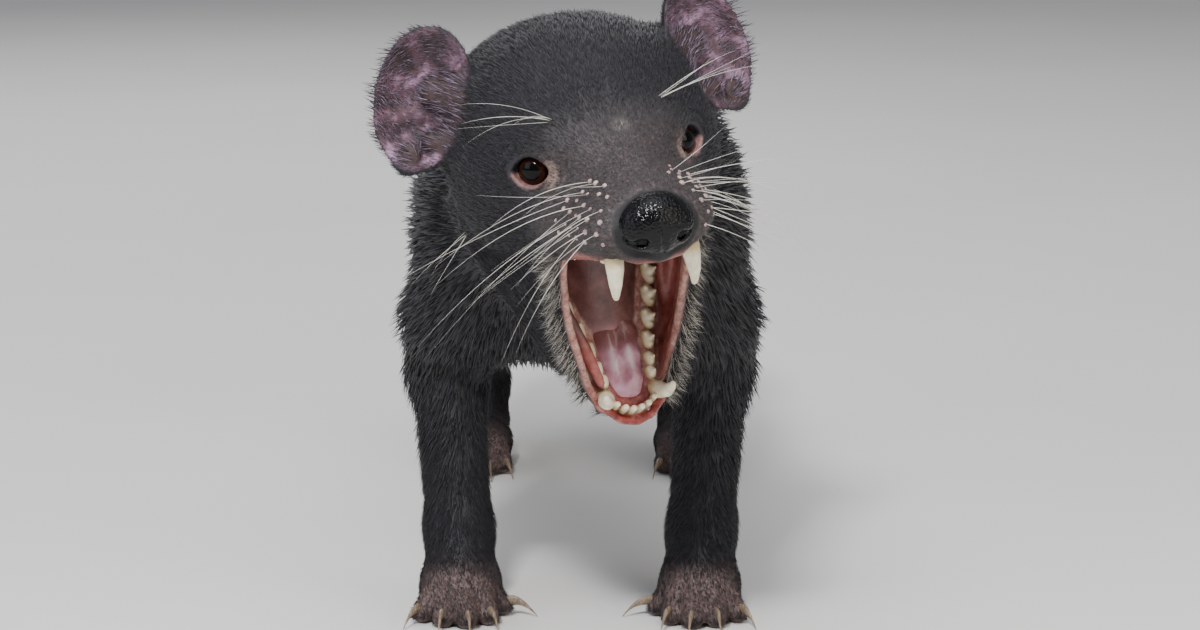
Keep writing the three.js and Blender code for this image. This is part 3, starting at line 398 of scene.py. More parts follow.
# A round nostril in front, with a slit that curls up the side of the pad
nostril = blend(
    2,
    ball((8.4, 64.6, -19.4), (2.7, 5, 2.3)),
    chain((9.4, 64.4, -19.8, 1.6), (12.8, 60.8, -19.4, 1.5), (15, 57.4, -15.4, 1.3), (14.8, 56.4, -9.5, 0.9)),
)
ear_root = blend(6, taper((44, -48, 22), 13, (54, -52, 24), 8), taper((50, -46, 2), 9, (60, -46, 6), 5))
lid_mound = ball(EYE_CENTRE, [EYE_RADIUS + LID_THICKNESS] * 3)

EAR_ACROSS = direction(*np.cross(EAR_ALONG, EAR_FACES))
EAR_OUT = np.cross(EAR_ACROSS, EAR_ALONG)
EYE_ACROSS = direction(*np.cross([0, 0, 1], EYE_LOOKS))
EYE_UP = np.cross(EYE_LOOKS, EYE_ACROSS)


def along_axes(x, y, z, centre, axes):
    px, py, pz = x - centre[0], y - centre[1], z - centre[2]
    return [px * axis[0] + py * axis[1] + pz * axis[2] for axis in axes]


def cheek_sheet(y, z):
    """Skin stretched between the jaws: how far to the side it is, and where its front edge is."""
    t = np.clip((z - CHEEK_TOP_UP + CHEEK_FALL) / CHEEK_FALL, 0, 1.15)
    edge = -11.3 + 3.8 * t + 16.5 * t * t
    return 27.4 - 12.8 * np.maximum(0, 1 - t) ** 2.2 + 0.3 * np.maximum(0, edge - y), edge


def mouth_hollow(side, y, z, jaw_ahead, jaw_up, cheek_side):
    """The room between the jaws, with a ridged palate and folds of flesh before the throat."""
    ridges = 0.55 * np.cos(y * 2 * math.pi / PALATE_RIDGES) * smooth(y, -24, -6)
    palate = z - PALATE_UP - 3 * np.cos(np.minimum(1, side / 20) * 1.57) - ridges
    floor = FLOOR_UP - jaw_up
    cheek = side - np.minimum(MOUTH_HALF, cheek_side - CHEEK_THICKNESS / 2) + np.maximum(0, y - 16) * 0.26
    fold = 2.6 * np.exp(-(((np.hypot(side - 6.5, (z + 38) * 0.75) - 7.5) / 1.5) ** 2))
    throat = THROAT_AHEAD - 14 * (side / 20) ** 2 - y + fold
    walls = soft_max(soft_max(palate, floor, 4), cheek, 5)
    chin = np.minimum(jaw_ahead - CHIN_WALL[0], CHIN_WALL[1] - jaw_up)
    front_lip = np.minimum(y - FRONT_LIP[0], z - FRONT_LIP[1])
    return soft_max(soft_max(soft_max(walls, throat, 8), chin, 2), front_lip, 2)


def ear_parts(x, y, z):
    """The ear's sheet: how far from its middle, how far past its rim, and how far out of its cup."""
    across, along, out = along_axes(x, y, z, EAR_AT, (EAR_ACROSS, EAR_ALONG, EAR_OUT))
    reach2 = (across / EAR_HALF[0]) ** 2 + (along / EAR_HALF[1]) ** 2
    rim = (np.sqrt(reach2) - 1) * EAR_HALF[0] * 0.9
    ridge = 2.6 * np.exp(-(((along + 6 - across * 0.35) / 4.5) ** 2))
    ridge += 1.6 * np.exp(-(((along - 6 + across * 0.5) / 3.0) ** 2))
    dish = ridge * np.maximum(0, 1 - reach2) - EAR_DISH * (1 - np.minimum(1.2, reach2))
    slope = np.hypot(1, 2 * EAR_DISH * np.sqrt(np.minimum(1.2, reach2)) / EAR_HALF[0])
    return (out - dish) / slope, rim, reach2


def ear_field(x, y, z):
    off, rim, _ = ear_parts(x, y, z)
    return soft_min(soft_max(np.abs(off) - EAR_THICKNESS / 2, rim, 3), ear_lobe(x, y, z), 2)


def ear_lobe(x, y, z):
    """The small flap at the ear's lower end."""
    across, along, out = along_axes(x, y, z, EAR_AT, (EAR_ACROSS, EAR_ALONG, EAR_OUT))
    return (np.sqrt(((across + 1) / 5) ** 2 + ((along + 25) / 7) ** 2 + ((out + 1) / 2.6) ** 2) - 1) * 2.6


def eye_opening(x, y, z):
    across, up, out = along_axes(x, y, z, EYE_CENTRE, (EYE_ACROSS, EYE_UP, EYE_LOOKS))
    narrowing = 1 - 0.26 * np.minimum(1, (across / EYE_OPENING[0]) ** 2)
    ring = (np.hypot(across / EYE_OPENING[0], up / (EYE_OPENING[1] * narrowing)) - 1) * EYE_OPENING[1]
    return ring, out, np.maximum(ring - np.maximum(0, out - EYE_RADIUS) * 0.6, 4 - out)


def coat_depth(x, y, z):
    """How far the skin lies under the tips of the hair."""
    body = mix(1.2, 7.0, smooth(z, 26, 120)) * mix(1, 0.45, smooth(y, -280, -470))
    hx, hy, hz = to_head(x, y, z)
    far = np.sqrt(hx * hx + hy * hy + hz * hz)
    head = mix(0.8, 3.6, smooth(hy, 14, -48))
    depth = mix(body, head, smooth(far, HEAD_REACH, 100) * smooth(hy, -98, -58))
    jx, jy, jz = to_jaw(hx, hy, hz)
    return mix(depth, mix(3.0, 0.8, smooth(jy, -10, 35)), share_of_jaw(hz, jx, jy, jz))


def share_of_jaw(hz, jx, jy, jz):
    """1 on the flesh of the lowered jaw, easing to 0 towards the neck."""
    return smooth(hz, -50, -62) * smooth(np.abs(jx), 45, 36) * smooth(jy, -20, 8) * smooth(jz, -74, -60)


def head_field(hx, hy, hz, rest, depth):
    side = np.abs(hx)
    jx, jy, jz = to_jaw(hx, hy, hz)
    jaw_side = np.abs(jx)
    cheek_side, cheek_edge = cheek_sheet(hy, hz)
    d = soft_min(cranium(side, hy, hz), upper_lip(side, hy, hz), 4)
    d = soft_min(d, mandible(jaw_side, jy, jz), 6)
    d = soft_min(d, rest, 20) + depth
    limits = np.maximum(np.maximum(hy - cheek_edge, -44 - jz), np.maximum(jy - 34, hz + 26))
    cheek = soft_max(np.abs(side - cheek_side) - CHEEK_HALF, limits, 3)
    d = soft_min(d, cheek, 7)
    d = soft_min(d, lower_lip(jaw_side, jy, jz) + LIP_THINNED, 3)
    d = soft_min(d, lip_wall(jaw_side, jy, jz), 3)
    d = soft_min(d, throat_flesh(side, hy, hz), 4)
    d = soft_min(d, ear_root(side, hy, hz) + 0.8, 8)
    d = soft_min(d, lid_mound(side, hy, hz), 5)
    d += face_folds(side, hy, hz)
    d = soft_max(d, -mouth_hollow(side, hy, hz, jy, jz, cheek_side), 3)
    d = soft_min(d, upper_gum(side, hy, hz), 1.5)
    d = soft_min(d, lower_gum(jaw_side, jy, jz), 1.5)
    d = soft_min(d, lip_fold(jx, jy, jz), 3)
    d = soft_min(d, nose_pad(side, hy, hz) + 1.2, 2)
    d = soft_max(d, -nostril(side, hy, hz), 1)
    d = soft_max(d, -eye_opening(side, hy, hz)[2], 0.8)
    return soft_min(d, ear_field(side, hy, hz), 3)


def face_folds(side, y, z):
    """Creases above and below the eye, and wrinkles where the muzzle's skin is drawn back."""
    across, up, out = along_axes(side, y, z, EYE_CENTRE, (EYE_ACROSS, EYE_UP, EYE_LOOKS))
    ring = np.hypot(across / 1.25, up)
    folds = 0.55 * np.exp(-(((ring - 10.6) / 0.9) ** 2)) + 0.3 * np.exp(-(((ring - 13.6) / 1.0) ** 2))
    folds *= smooth(out, 0, 4)
    snarl = y * 0.8 - z * 0.6 + 2.5 * np.sin(side * 0.3)
    on_muzzle = smooth(side, 12, 20) * smooth(y, -6, 6) * smooth(y, 30, 18) * smooth(z, -4, -14)
    return folds + 0.32 * np.sin(snarl * 2 * math.pi / SNARL_WRINKLES) * on_muzzle


def skin_field(x, y, z):
    rest = body_field(x, y, z)
    depth = coat_depth(x, y, z)
    d = rest + depth
    hx, hy, hz = to_head(x, y, z)
    near = hx * hx + hy * hy + hz * hz < HEAD_REACH**2
    d[near] = head_field(hx[near], hy[near], hz[near], rest[near], depth[near])
    return soft_max(d, -z, 0.6)


# Meshing

BRICK = 8
TRUST = 1.8  # how much steeper than a true distance a field may be


def net(field, place, shape):
    """Quads on a field's zero surface. place turns lattice indices to x, y, z and the cell there."""
    shape = [BRICK * math.ceil(n / BRICK) for n in shape]
    starts = np.stack(np.meshgrid(*[np.arange(0, n, BRICK) for n in shape], indexing="ij"), -1).reshape(-1, 3)
    x, y, z, cell = place(*(starts.T + (BRICK - 1) / 2))
    rough = field(x, y, z)
    near = starts[np.abs(rough) < TRUST * BRICK / 2 * math.sqrt(3) * cell]
    values = np.sign(rough).astype(np.float32).reshape([n // BRICK for n in shape]) * BRICK
    for axis in range(3):
        values = values.repeat(BRICK, axis)
    steps = np.stack(np.meshgrid(*[np.arange(BRICK)] * 3, indexing="ij"), -1).reshape(-1, 3)
    for some in np.array_split(near, max(1, len(near) // 1000)):
        index = (some[:, None] + steps).reshape(-1, 3)
        x, y, z, cell = place(*index.T)
        values[tuple(index.T)] = field(x, y, z) / cell
    for axis in range(3):
        values.swapaxes(0, axis)[[0, -1]] = BRICK
    grid = openvdb.FloatGrid()
    grid.copyFromArray(values)
    points, quads = grid.convertToQuads()
    x, y, z, _ = place(*points.T)
    return np.stack([x, y, z], -1), quads.astype(np.int32)


def even_net(field, low, high, cell):
    """The same on an even lattice between two corners."""
    shape = [math.ceil((h - l) / cell) + 1 for l, h in zip(low, high)]

    def place(i, j, k):
        return low[0] + i * cell, low[1] + j * cell, low[2] + k * cell, cell

    return net(field, place, shape)


def mesh_piece(name, points, faces):
    """A piece whose points are in the solids' frame, in metres, with its faces turned outwards."""
    a, b, c = points[faces[:, 0]], points[faces[:, 1]], points[faces[:, 2]]
    volume = np.einsum("ij,ij->i", a, np.cross(b, c)).sum()
    if faces.shape[1] == 4:
        volume += np.einsum("ij,ij->i", a, np.cross(c, points[faces[:, 3]])).sum()
    if volume < 0:
        faces = faces[:, ::-1]
    mesh = bpy.data.meshes.new(name)
    mesh.vertices.add(len(points))
    mesh.vertices.foreach_set("co", np.ascontiguousarray(points, np.float32).ravel())
    mesh.loops.add(faces.size)
    mesh.loops.foreach_set("vertex_index", np.ascontiguousarray(faces, np.int32).ravel())
    mesh.polygons.add(len(faces))
    mesh.polygons.foreach_set("loop_start", np.arange(0, faces.size, faces.shape[1], dtype=np.int32))
    mesh.update(calc_edges=True)
    mesh.shade_smooth()
    piece = bpy.data.objects.new(name, mesh)
    bpy.context.scene.collection.objects.link(piece)
    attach(piece, "root")
    return piece


def add_attribute(piece, name, values):
    attribute = piece.data.attributes.new(name, "FLOAT", "POINT")
    attribute.data.foreach_set("value", np.ascontiguousarray(values, np.float32))


def threes(elements, key, kind=np.float32):
    """Three numbers for each vertex or triangle of a mesh, one row each."""
    values = np.empty(len(elements) * 3, kind)
    elements.foreach_get(key, values)
    return values.reshape(-1, 3)


# Zones of the skin, which the coat shares


def zones(points):
    """How much of each kind of skin there is at each point, from 0 to 1, and its place on the head."""
    x, y, z = np.asarray(points, float).T
    hx, hy, hz = to_head(x, y, z)
    side = np.abs(hx)
    jx, jy, jz = to_jaw(hx, hy, hz)
    far = np.sqrt(hx * hx + hy * hy + hz * hz)
    head = smooth(far, HEAD_REACH, HEAD_REACH - 8)
    cheek_side, _ = cheek_sheet(hy, hz)
    hollow = mouth_hollow(side, hy, hz, jy, jz, cheek_side)
    jaw_side = np.abs(jx)
    well_down = smooth(hz, -50, -60)
    in_cheek = smooth(side - cheek_side, 0.5, -1.5) * smooth(hz, -26, -31)
    in_cheek *= smooth(jz, -46, -43) * smooth(jy, 50, 46)
    near_hollow = np.where(hz > -35, smooth(hollow, 0.9, 0.3), smooth(hollow, 3.4, 0.8))
    front_floor = smooth(jz, -45.5, -43.5) * smooth(jy, 60.8, 59.2) * smooth(jaw_side, 14, 12) * well_down
    in_mouth = np.maximum.reduce([near_hollow, in_cheek, front_floor])
    in_arch = smooth(jz, -33, -37) * smooth(jaw_side, 17, 12) * smooth(jy, 15, 25) * well_down
    off_lip = lower_lip(jaw_side, jy, jz) + LIP_THINNED
    lip = smooth(np.minimum(off_lip, lower_gum(jaw_side, jy, jz)), 1.6, 0.5) * smooth(hollow, 4.6, 2.8)
    lip *= smooth(jy + 0.045 * jx * jx, 61.4, 60.2)
    ring, out, _ = eye_opening(side, hy, hz)
    across, up, _ = along_axes(side, hy, hz, EYE_CENTRE, (EYE_ACROSS, EYE_UP, EYE_LOOKS))
    low_or_inner = np.maximum(smooth(up, 0.5, -2.5), smooth(across, 3.5, 6))
    corner = np.exp(-(((across - 9.5) / 3.6) ** 2) - ((up + 0.5) / 5) ** 2)
    off, _, reach2 = ear_parts(side, hy, hz)
    in_cup = smooth(off, -0.4, 0.8) * smooth(reach2, 0.98, 0.8) * smooth(np.abs(off), 15, 11)
    # Painted shade: skin lying deep in the ear's cup is painted darker, as if in shadow
    recess = in_cup * smooth(off, 1.6, 3)
    on_eye = smooth(out, 1, 4) * smooth(out, 16, 12)
    low = smooth(z, 30, 18) * smooth(np.abs(np.abs(x) - PAW_SIDE), 30, 26)
    toes = smooth(np.minimum(np.abs(y - 152), np.abs(y + 152)), 16, 6)
    fringe = smooth(off_lip, 7.5, 3) * smooth(hollow, 2.4, 4) * smooth(hz, -28, -38) * smooth(jy, 57, 50)
    return {
        "mouth": head * in_mouth,
        # Back wall of the mouth: its own mauve-brown, painted darker as shade deep in the mouth
        "deep": head * in_mouth * smooth(hy, 2, -22) * smooth(side, 23, 17) * smooth(jy, 30, 16),
        "arch": head * in_mouth * in_arch,
        "upper_lip": head * smooth(upper_lip(side, hy, hz), 1.0, 0.2) * smooth(hollow, 3, 1),
        "lip": head * lip,
        "lip_front": head * lip * smooth(jy, 38, 52),
        "fringe": head * fringe,
        "rim": head * smooth(ring, 1.2, 0.4) * low_or_inner * on_eye,
        "lid_edge": head * smooth(ring, 2.2, 1.0) * on_eye,
        "around_eye": head * corner * on_eye,
        "ear": head * in_cup,
        "recess": head * recess,
        "muzzle": head * smooth(hy, -2, 26) * smooth(hollow, 0, 4),
        "nose": head * smooth(nose_pad(side, hy, hz), 2.8, 1.2),
        "paw": low * mix(0.45, 1, toes),
        "sole": smooth(z, 2.2, 0.8),
        "rump": rump_patch(x, y, z),
        "on_jaw": share_of_jaw(hz, jx, jy, jz),
        "far": far,
        "head": (hx, hy, hz),
        "jaw": (jx, jy, jz),
    }


def rump_patch(x, y, z):
    """A small ragged white mark on the rump's left side."""
    ragged = 4 * np.sin(y * 0.17 + z * 0.23) + 3 * np.sin(z * 0.51 - y * 0.31)
    ragged += 2 * np.sin(y * 0.63 + z * 0.2)
    off = np.hypot(y + 176 + (z - 196) * 0.6, (z - 196) / 0.4) + ragged
    return smooth(off, 26, 16) * smooth(x, 10, 22)


# The zones that the skin's material reads, as attributes of the same names
SKIN_ZONES = ("mouth", "deep", "arch", "upper_lip", "lip", "lip_front", "rim", "around_eye")
SKIN_ZONES += ("ear", "recess", "muzzle", "nose", "paw")


# Materials


def linear(colour):
    """An sRGB hex value as linear red, green, blue and alpha."""
    shares = [int(colour[i : i + 2], 16) / 255 for i in (1, 3, 5)]
    return [s / 12.92 if s <= 0.04045 else ((s + 0.055) / 1.055) ** 2.4 for s in shares] + [1.0]


def new_material(name, roughness, **sockets):
    material = bpy.data.materials.new(name)
    material.use_nodes = True
    shader = material.node_tree.nodes["Principled BSDF"]
    shader.inputs["Roughness"].default_value = roughness
    for key, value in sockets.items():
        shader.inputs[key.replace("_", " ").title().replace("Ior", "IOR")].default_value = value
    return material


def add_node(material, kind, inputs=(), settings=(), ramp=()):
    """Adds a node with its settings, its inputs' values or links, and a ramp's stops."""
    node = material.node_tree.nodes.new(kind)
    for key, value in dict(settings).items():
        setattr(node, key, value)
    for key, value in dict(inputs).items():
        if isinstance(value, bpy.types.NodeSocket):
            material.node_tree.links.new(value, node.inputs[key])
        else:
            node.inputs[key].default_value = value
    for place, (position, colour) in enumerate(ramp):
        stops = node.color_ramp.elements
        stop = stops[place] if place < len(stops) else stops.new(position)
        stop.position = position
        stop.color = linear(colour)
    return node


def feed(material, socket, source):
    shader = material.node_tree.nodes["Principled BSDF"]
    material.node_tree.links.new(source, shader.inputs[socket])


def mottle(material, size_mm, detail=4, roughness=0.6, stretch=None):
    """A pattern of soft lumps, the largest about size_mm across, that stays with its piece."""
    place = add_node(material, "ShaderNodeTexCoord").outputs["Object"]
    if stretch:
        place = add_node(material, "ShaderNodeMapping", {"Vector": place, "Scale": stretch}).outputs[0]
    inputs = {"Vector": place, "Scale": 1 / (size_mm * MM), "Detail": detail, "Roughness": roughness}
    return add_node(material, "ShaderNodeTexNoise", inputs).outputs["Fac"]


def pebbles(material, size_mm):
    """Small domes packed side by side, each about size_mm across."""
    place = add_node(material, "ShaderNodeTexCoord").outputs["Object"]
    inputs = {"Vector": place, "Scale": 1 / (size_mm * MM)}
    return add_node(material, "ShaderNodeTexVoronoi", inputs).outputs["Distance"]


def mask(material, name):
    """How much of a zone there is, from the mesh attribute of that name."""
    return add_node(material, "ShaderNodeAttribute", settings={"attribute_name": name}).outputs["Fac"]


def maths(material, operation, *values):
    return add_node(material, "ShaderNodeMath", dict(enumerate(values)), {"operation": operation}).outputs[0]


def ramped(material, pattern, *stops):
    """Colours that follow a pattern."""
    return add_node(material, "ShaderNodeValToRGB", {"Fac": pattern}, ramp=stops).outputs["Color"]


def blended(material, share, below, above):
    """One colour over another. The upper one may be a hex value."""
    inputs = {0: share, 6: below, 7: linear(above) if isinstance(above, str) else above}
    return add_node(material, "ShaderNodeMix", inputs, {"data_type": "RGBA"}).outputs[2]


def relief(material, height, depth_mm, strength):
    inputs = {"Height": height, "Distance": depth_mm * MM, "Strength": strength}
    feed(material, "Normal", add_node(material, "ShaderNodeBump", inputs).outputs["Normal"])


def skin_material(colours):
    """Skin: dark and dull under the coat, thin and pinkish on muzzle and paws, wet inside the mouth."""
    skin = new_material("skin", 0.6, subsurface_weight=0.06, subsurface_scale=0.002, specular_ior_level=0.45)
    fine = mottle(skin, 1.6, 6, 0.7)
    colour = ramped(skin, mottle(skin, 9), (0, colours.under_coat), (1, colours.under_coat_light))
    for zone, pattern, *stops in (
        ("muzzle", fine, (0.32, "#1f1c1f"), (0.54, "#3f3637"), (0.74, "#6c5c59")),
        ("around_eye", fine, (0.3, "#6f5b55"), (0.7, "#a98f83")),
        ("paw", fine, (0.3, "#3b3133"), (0.7, "#7a635e")),
        ("ear", mottle(skin, 10, 3), (0.36, "#2b1d20"), (0.5, "#5a3d47"), (0.68, "#a3809a")),
        # Painted shade deep in the ear's cup
        ("recess", fine, (0.3, "#291b1b"), (0.7, "#4a3536")),
        ("mouth", mottle(skin, 7), (0.3, "#743a32"), (0.5, "#92504a"), (0.7, "#ac6a62")),
        # The mouth's back wall: its own mauve-brown with painted shade
        ("deep", mottle(skin, 9, 3), (0.3, "#543633"), (0.55, "#714a46"), (0.75, "#87605b")),
        ("arch", mottle(skin, 6), (0.3, "#a4646a"), (0.55, "#b67a82"), (0.8, "#c896a2")),
        ("upper_lip", fine, (0.3, "#1d1516"), (0.7, "#3f2b2b")),
        ("lip", mottle(skin, 3, 6, 0.75), (0.34, "#7d4d47"), (0.5, "#a4756a"), (0.68, "#c4a496")),
        ("lip_front", mottle(skin, 3, 5, 0.7), (0.3, "#652322"), (0.52, "#863531"), (0.72, "#a9605a")),
        ("rim", fine, (0.3, "#5f4341"), (0.7, "#9c736d")),
    ):
        colour = blended(skin, mask(skin, zone), colour, ramped(skin, pattern, *stops))
    feed(skin, "Base Color", blended(skin, mask(skin, "nose"), colour, "#0c0b0c"))
    wet = maths(skin, "MAXIMUM", mask(skin, "mouth"), mask(skin, "lip"))
    dullness = add_node(skin, "ShaderNodeMapRange", {"Value": wet, "To Min": 0.62, "To Max": 0.24}).outputs[0]
    feed(skin, "Roughness", dullness)
    relief(skin, fine, 0.35, 0.7)
    return skin


def coat_material(colours):
    """Guard hair: black with a painted bluish sky reflection, browner at its tips, each tuft a little lighter
    or darker than the next, the lightest partly painted sheen.
    """
    coat = new_material("guard_hair", 0.42, specular_ior_level=0.36, sheen_weight=0.06, sheen_roughness=0.4)
    shade = mask(coat, "shade")
    # Painted reflection: the hair's blue tint stands for the sky's reflection, and the lightest tufts are
    # partly painted sheen
    colour = ramped(coat, shade, (0, colours.hair_dark), (0.6, colours.hair), (1, colours.hair_light))
    for zone, darkest, lightest in (
        ("tip", "#171518", "#413b43"),
        ("pale", "#a09787", "#f1ebde"),
        ("brown", "#242021", "#63564f"),
        # Inside the ear: pale violet hair, partly its own colour and partly painted sheen
        ("ear", "#3a2e37", "#a893ab"),
    ):
        paint = ramped(coat, shade, (0, darkest), (1, lightest))
        colour = blended(coat, mask(coat, zone), colour, paint)
    feed(coat, "Base Color", colour)
    return coat


def eye_material():
    """Eye: a near-black pupil in a dark red-brown iris, under a wet clear cornea."""
    eye = new_material("eye", 0.05, specular_ior_level=0.17)
    # Streaks push each place outwards, by 0.04 on average
    place = maths(eye, "MULTIPLY_ADD", mottle(eye, 0.9, 3), 0.08, mask(eye, "off_axis"))
    pupil = ((0.04, "#030303"), (0.44, "#050404"))
    iris = ((0.52, "#221009"), (0.66, "#32180d"), (0.76, "#120907"))
    feed(eye, "Base Color", ramped(eye, place, *pupil, *iris, (0.9, "#2e211d")))
    return eye


def nose_material():
    """Nose leather: black, pebbled and wet."""
    nose = new_material("nose_leather", 0.13, coat_weight=0.05, coat_roughness=0.05, specular_ior_level=0.24)
    black = ((0.3, "#030304"), (0.6, "#08080a"), (0.8, "#131112"))
    feed(nose, "Base Color", ramped(nose, mottle(nose, 6, 3), *black))
    relief(nose, maths(nose, "ADD", pebbles(nose, 1.1), mottle(nose, 2.5)), 0.3, 0.9)
    return nose


def tooth_material():
    """Tooth enamel: yellowish ivory, browner towards the gum, with fine dark cracks along it."""
    softness = {"subsurface_weight": 0.08, "subsurface_scale": 0.001}
    tooth = new_material("tooth_enamel", 0.26, coat_weight=0.3, **softness)
    colour = ramped(tooth, mottle(tooth, 4), (0.3, "#dccfa6"), (0.55, "#ece4c8"), (0.75, "#f6f2e2"))
    colour = blended(tooth, mask(tooth, "near_gum"), colour, "#b79a58")
    crack = mottle(tooth, 1.3, 5, 0.7, (1, 1, 0.16))
    line = ramped(tooth, crack, (0.47, "#000000"), (0.5, "#ffffff"), (0.53, "#000000"))
    feed(tooth, "Base Color", blended(tooth, maths(tooth, "MULTIPLY", line, 0.16), colour, "#6a4f2a"))
    relief(tooth, crack, 0.08, 0.5)
    return tooth


def tongue_material():
    """Tongue: lilac pink, velvety with papillae, wet, with painted shade at its root and two painted
    highlight streaks.
    """
    tongue = new_material("tongue", 0.3, subsurface_weight=0.15, subsurface_scale=0.002, coat_weight=0.25)
    colour = ramped(tongue, mottle(tongue, 6), (0.3, "#ad7080"), (0.55, "#c08da0"), (0.8, "#d0abc0"))
    # Painted shade: the back of the tongue is painted dark brown, as if in shadow
    colour = blended(tongue, mask(tongue, "root"), colour, "#7c4b49")
    # Painted highlight: two pale streaks stand for glints on the wet tongue
    feed(tongue, "Base Color", blended(tongue, mask(tongue, "painted_glint"), colour, "#dccbd2"))
    relief(tongue, pebbles(tongue, 0.8), 0.16, 0.8)
    return tongue


def claw_material():
    """Claw: horn, brownish grey with paler streaks along it."""
    claw = new_material("claw_horn", 0.34, coat_weight=0.15)
    streaks = mottle(claw, 0.7, stretch=(1, 0.12, 0.4))
    feed(claw, "Base Color", ramped(claw, streaks, (0.3, "#5b4a3c"), (0.6, "#8c7a66"), (0.8, "#b7a78f")))
    return claw


def whisker_material():
    """Whisker: stiff white hair."""
    whisker = new_material("whisker_hair", 0.35, specular_ior_level=0.5)
    feed(whisker, "Base Color", ramped(whisker, mottle(whisker, 14), (0.3, "#b9b3a8"), (0.7, "#f1eee6")))
    return whisker


def follicle_material():
    """Whisker root: a swollen pinkish-white bump."""
    follicle = new_material("whisker_root", 0.45, subsurface_weight=0.1, subsurface_scale=0.001)
    feed(follicle, "Base Color", ramped(follicle, mottle(follicle, 2.5), (0.3, "#7b6666"), (0.7, "#cdb4ae")))
    return follicle


def floor_material(colours):
    """Studio floor: matt paper."""
    floor = new_material("studio_paper", 0.9)
    feed(floor, "Base Color", ramped(floor, mottle(floor, 900), (0.3, colours.floor), (0.7, "#e8e6e2")))
    return floor


# Pieces

# Spacing of the skin's lattice at points along the animal, finest on the head
SKIN_CELLS = [(-480, 2.7), (-230, 2.5), (-150, 2.6), (-60, 3.4), (30, 3.2)]
SKIN_CELLS += [(110, 1.75), (165, 1.3), (190, 1.08), (340, 1.08)]
SKIN_AHEAD = (-482.0, 330)
SKIN_MIDDLE = (8, 146)  # to the side and up
SKIN_SPAN = (206, 316)
SKIN_TRIANGLES = 190000
NOSE_CELL = 0.45
TEETH_CELL = 0.5
TONGUE_CELL = 0.6


def skin_lattice():
    stops, cells = np.array(SKIN_CELLS, float).T
    rows = [SKIN_AHEAD[0]]
    while rows[-1] < SKIN_AHEAD[1]:
        rows.append(rows[-1] + np.interp(rows[-1], stops, cells))
    rows = np.array(rows)
    finest = cells.min()
    shape = (int(SKIN_SPAN[0] / finest), len(rows), int(SKIN_SPAN[1] / finest))

    def place(i, j, k):
        y = np.interp(j, np.arange(len(rows)), rows)
        cell = np.interp(y, stops, cells)
        x = SKIN_MIDDLE[0] + (i - shape[0] / 2) * cell
        return x, y, SKIN_MIDDLE[1] + (k - shape[2] / 2) * cell, cell

    return place, shape


def add_skin():
    place, shape = skin_lattice()
    points, quads = net(skin_field, place, shape)
    skin = mesh_piece("skin", to_metres(points), quads)
    bpy.context.view_layer.objects.active = skin
    thinned = skin.modifiers.new("thinned", "DECIMATE")
    thinned.ratio = SKIN_TRIANGLES / (2 * len(quads))
    bpy.ops.object.modifier_apply(modifier="thinned")
    found = zones((threes(skin.data.vertices, "co") / MM - ORIGIN) * [1, -1, 1])
    for name in SKIN_ZONES:
        add_attribute(skin, name, found[name])
    return skin


NOSE_CUT = ((0, 58, -13.5), (16, 11, 13))


def nose_field(x, y, z):
    side = np.abs(x)
    d = soft_max(nose_pad(side, y, z) - 0.1, ball(*NOSE_CUT)(x, y, z), 1.5)
    d = soft_max(d, -nostril(side, y, z), 1)
    groove = 0.9 * np.exp(-((x / 0.9) ** 2)) * smooth(z, -10, -16)
    return d + groove


def add_nose(material):
    points, quads = even_net(nose_field, (-18, 42, -30), (18, 70, 2), NOSE_CELL)
    nose = mesh_piece("nose", to_metres(from_head(points)), quads)
    nose.data.materials.append(material)
    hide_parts("nose_pad")


def add_eye(hand, word, material):
    """A ball with the cornea standing a little proud of it, looking outwards and ahead."""
    looks = EYE_LOOKS * [hand, 1, 1]
    gaze = Vector(HEAD_AXES @ looks * [1, -1, 1])
    place = to_metres(from_head(EYE_CENTRE * [hand, 1, 1]))
    turn = gaze.to_track_quat("Z", "Y").to_euler()
    bpy.ops.mesh.primitive_uv_sphere_add(
        segments=64, ring_count=40, radius=EYE_RADIUS * MM, location=place, rotation=turn
    )
    eye = bpy.context.active_object
    eye.name = f"eyeball_{word}"
    off_axis = []
    for vertex in eye.data.vertices:
        off = vertex.co.xy.length / (EYE_RADIUS * MM)
        behind = vertex.co.z < 0
        bulge = 0.0 if behind else 0.07 * max(0.0, 1 - (off / 0.72) ** 2)
        vertex.co *= 1 + bulge
        off_axis.append(1.0 if behind else off)
    add_attribute(eye, "off_axis", off_axis)
    bpy.ops.object.transform_apply(location=True, rotation=True, scale=True)
    bpy.ops.object.shade_smooth()
    eye.data.materials.append(material)
    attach(eye, "root")
    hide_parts(f"eye_{word}")


# Teeth, as side and ahead at the gum, half length along the row, half breadth, and height.
# The lip hides the upper incisors, which are only stumps.
UPPER_TEETH = [
    (2.6, 48.4, 1.5, 1.2, 1),
    (6.4, 47.4, 1.5, 1.2, 1),
    (9.6, 46.2, 1.6, 1.3, 1),
    (17.4, 38.6, 2.6, 1.8, 1.8),
    (18.6, 32.8, 2.9, 2.0, 2.2),
    (19.8, 25.4, 4.0, 3.2, 4.2),
    (21.2, 16.6, 4.4, 3.6, 6.4),
    (22.8, 7.2, 4.6, 3.8, 6.6),
    (24.0, -0.6, 2.6, 3.2, 4.6),
]
LOWER_TEETH = [
    (1.7, 54.6, 1.9, 1.9, 5.2),
    (5.0, 53.6, 1.9, 1.9, 5.2),
    (8.0, 51.6, 1.8, 1.8, 4.8),
    (10.2, 40.6, 2.4, 1.8, 4.4),
    (11.2, 34.9, 2.8, 1.9, 5),
    (12.7, 27.0, 3.8, 2.5, 5.8),
    (15.0, 18.4, 4.4, 2.8, 6.8),
    (17.7, 9.0, 4.7, 3.0, 7.6),
    (20.2, -0.4, 4.8, 3.0, 8),
]
UPPER_GUM_UP = -29.6
LOWER_GUM_UP = -38
FIRST_CHEEK_TOOTH = 3  # the three before it are incisors, which have one edge and no cusps
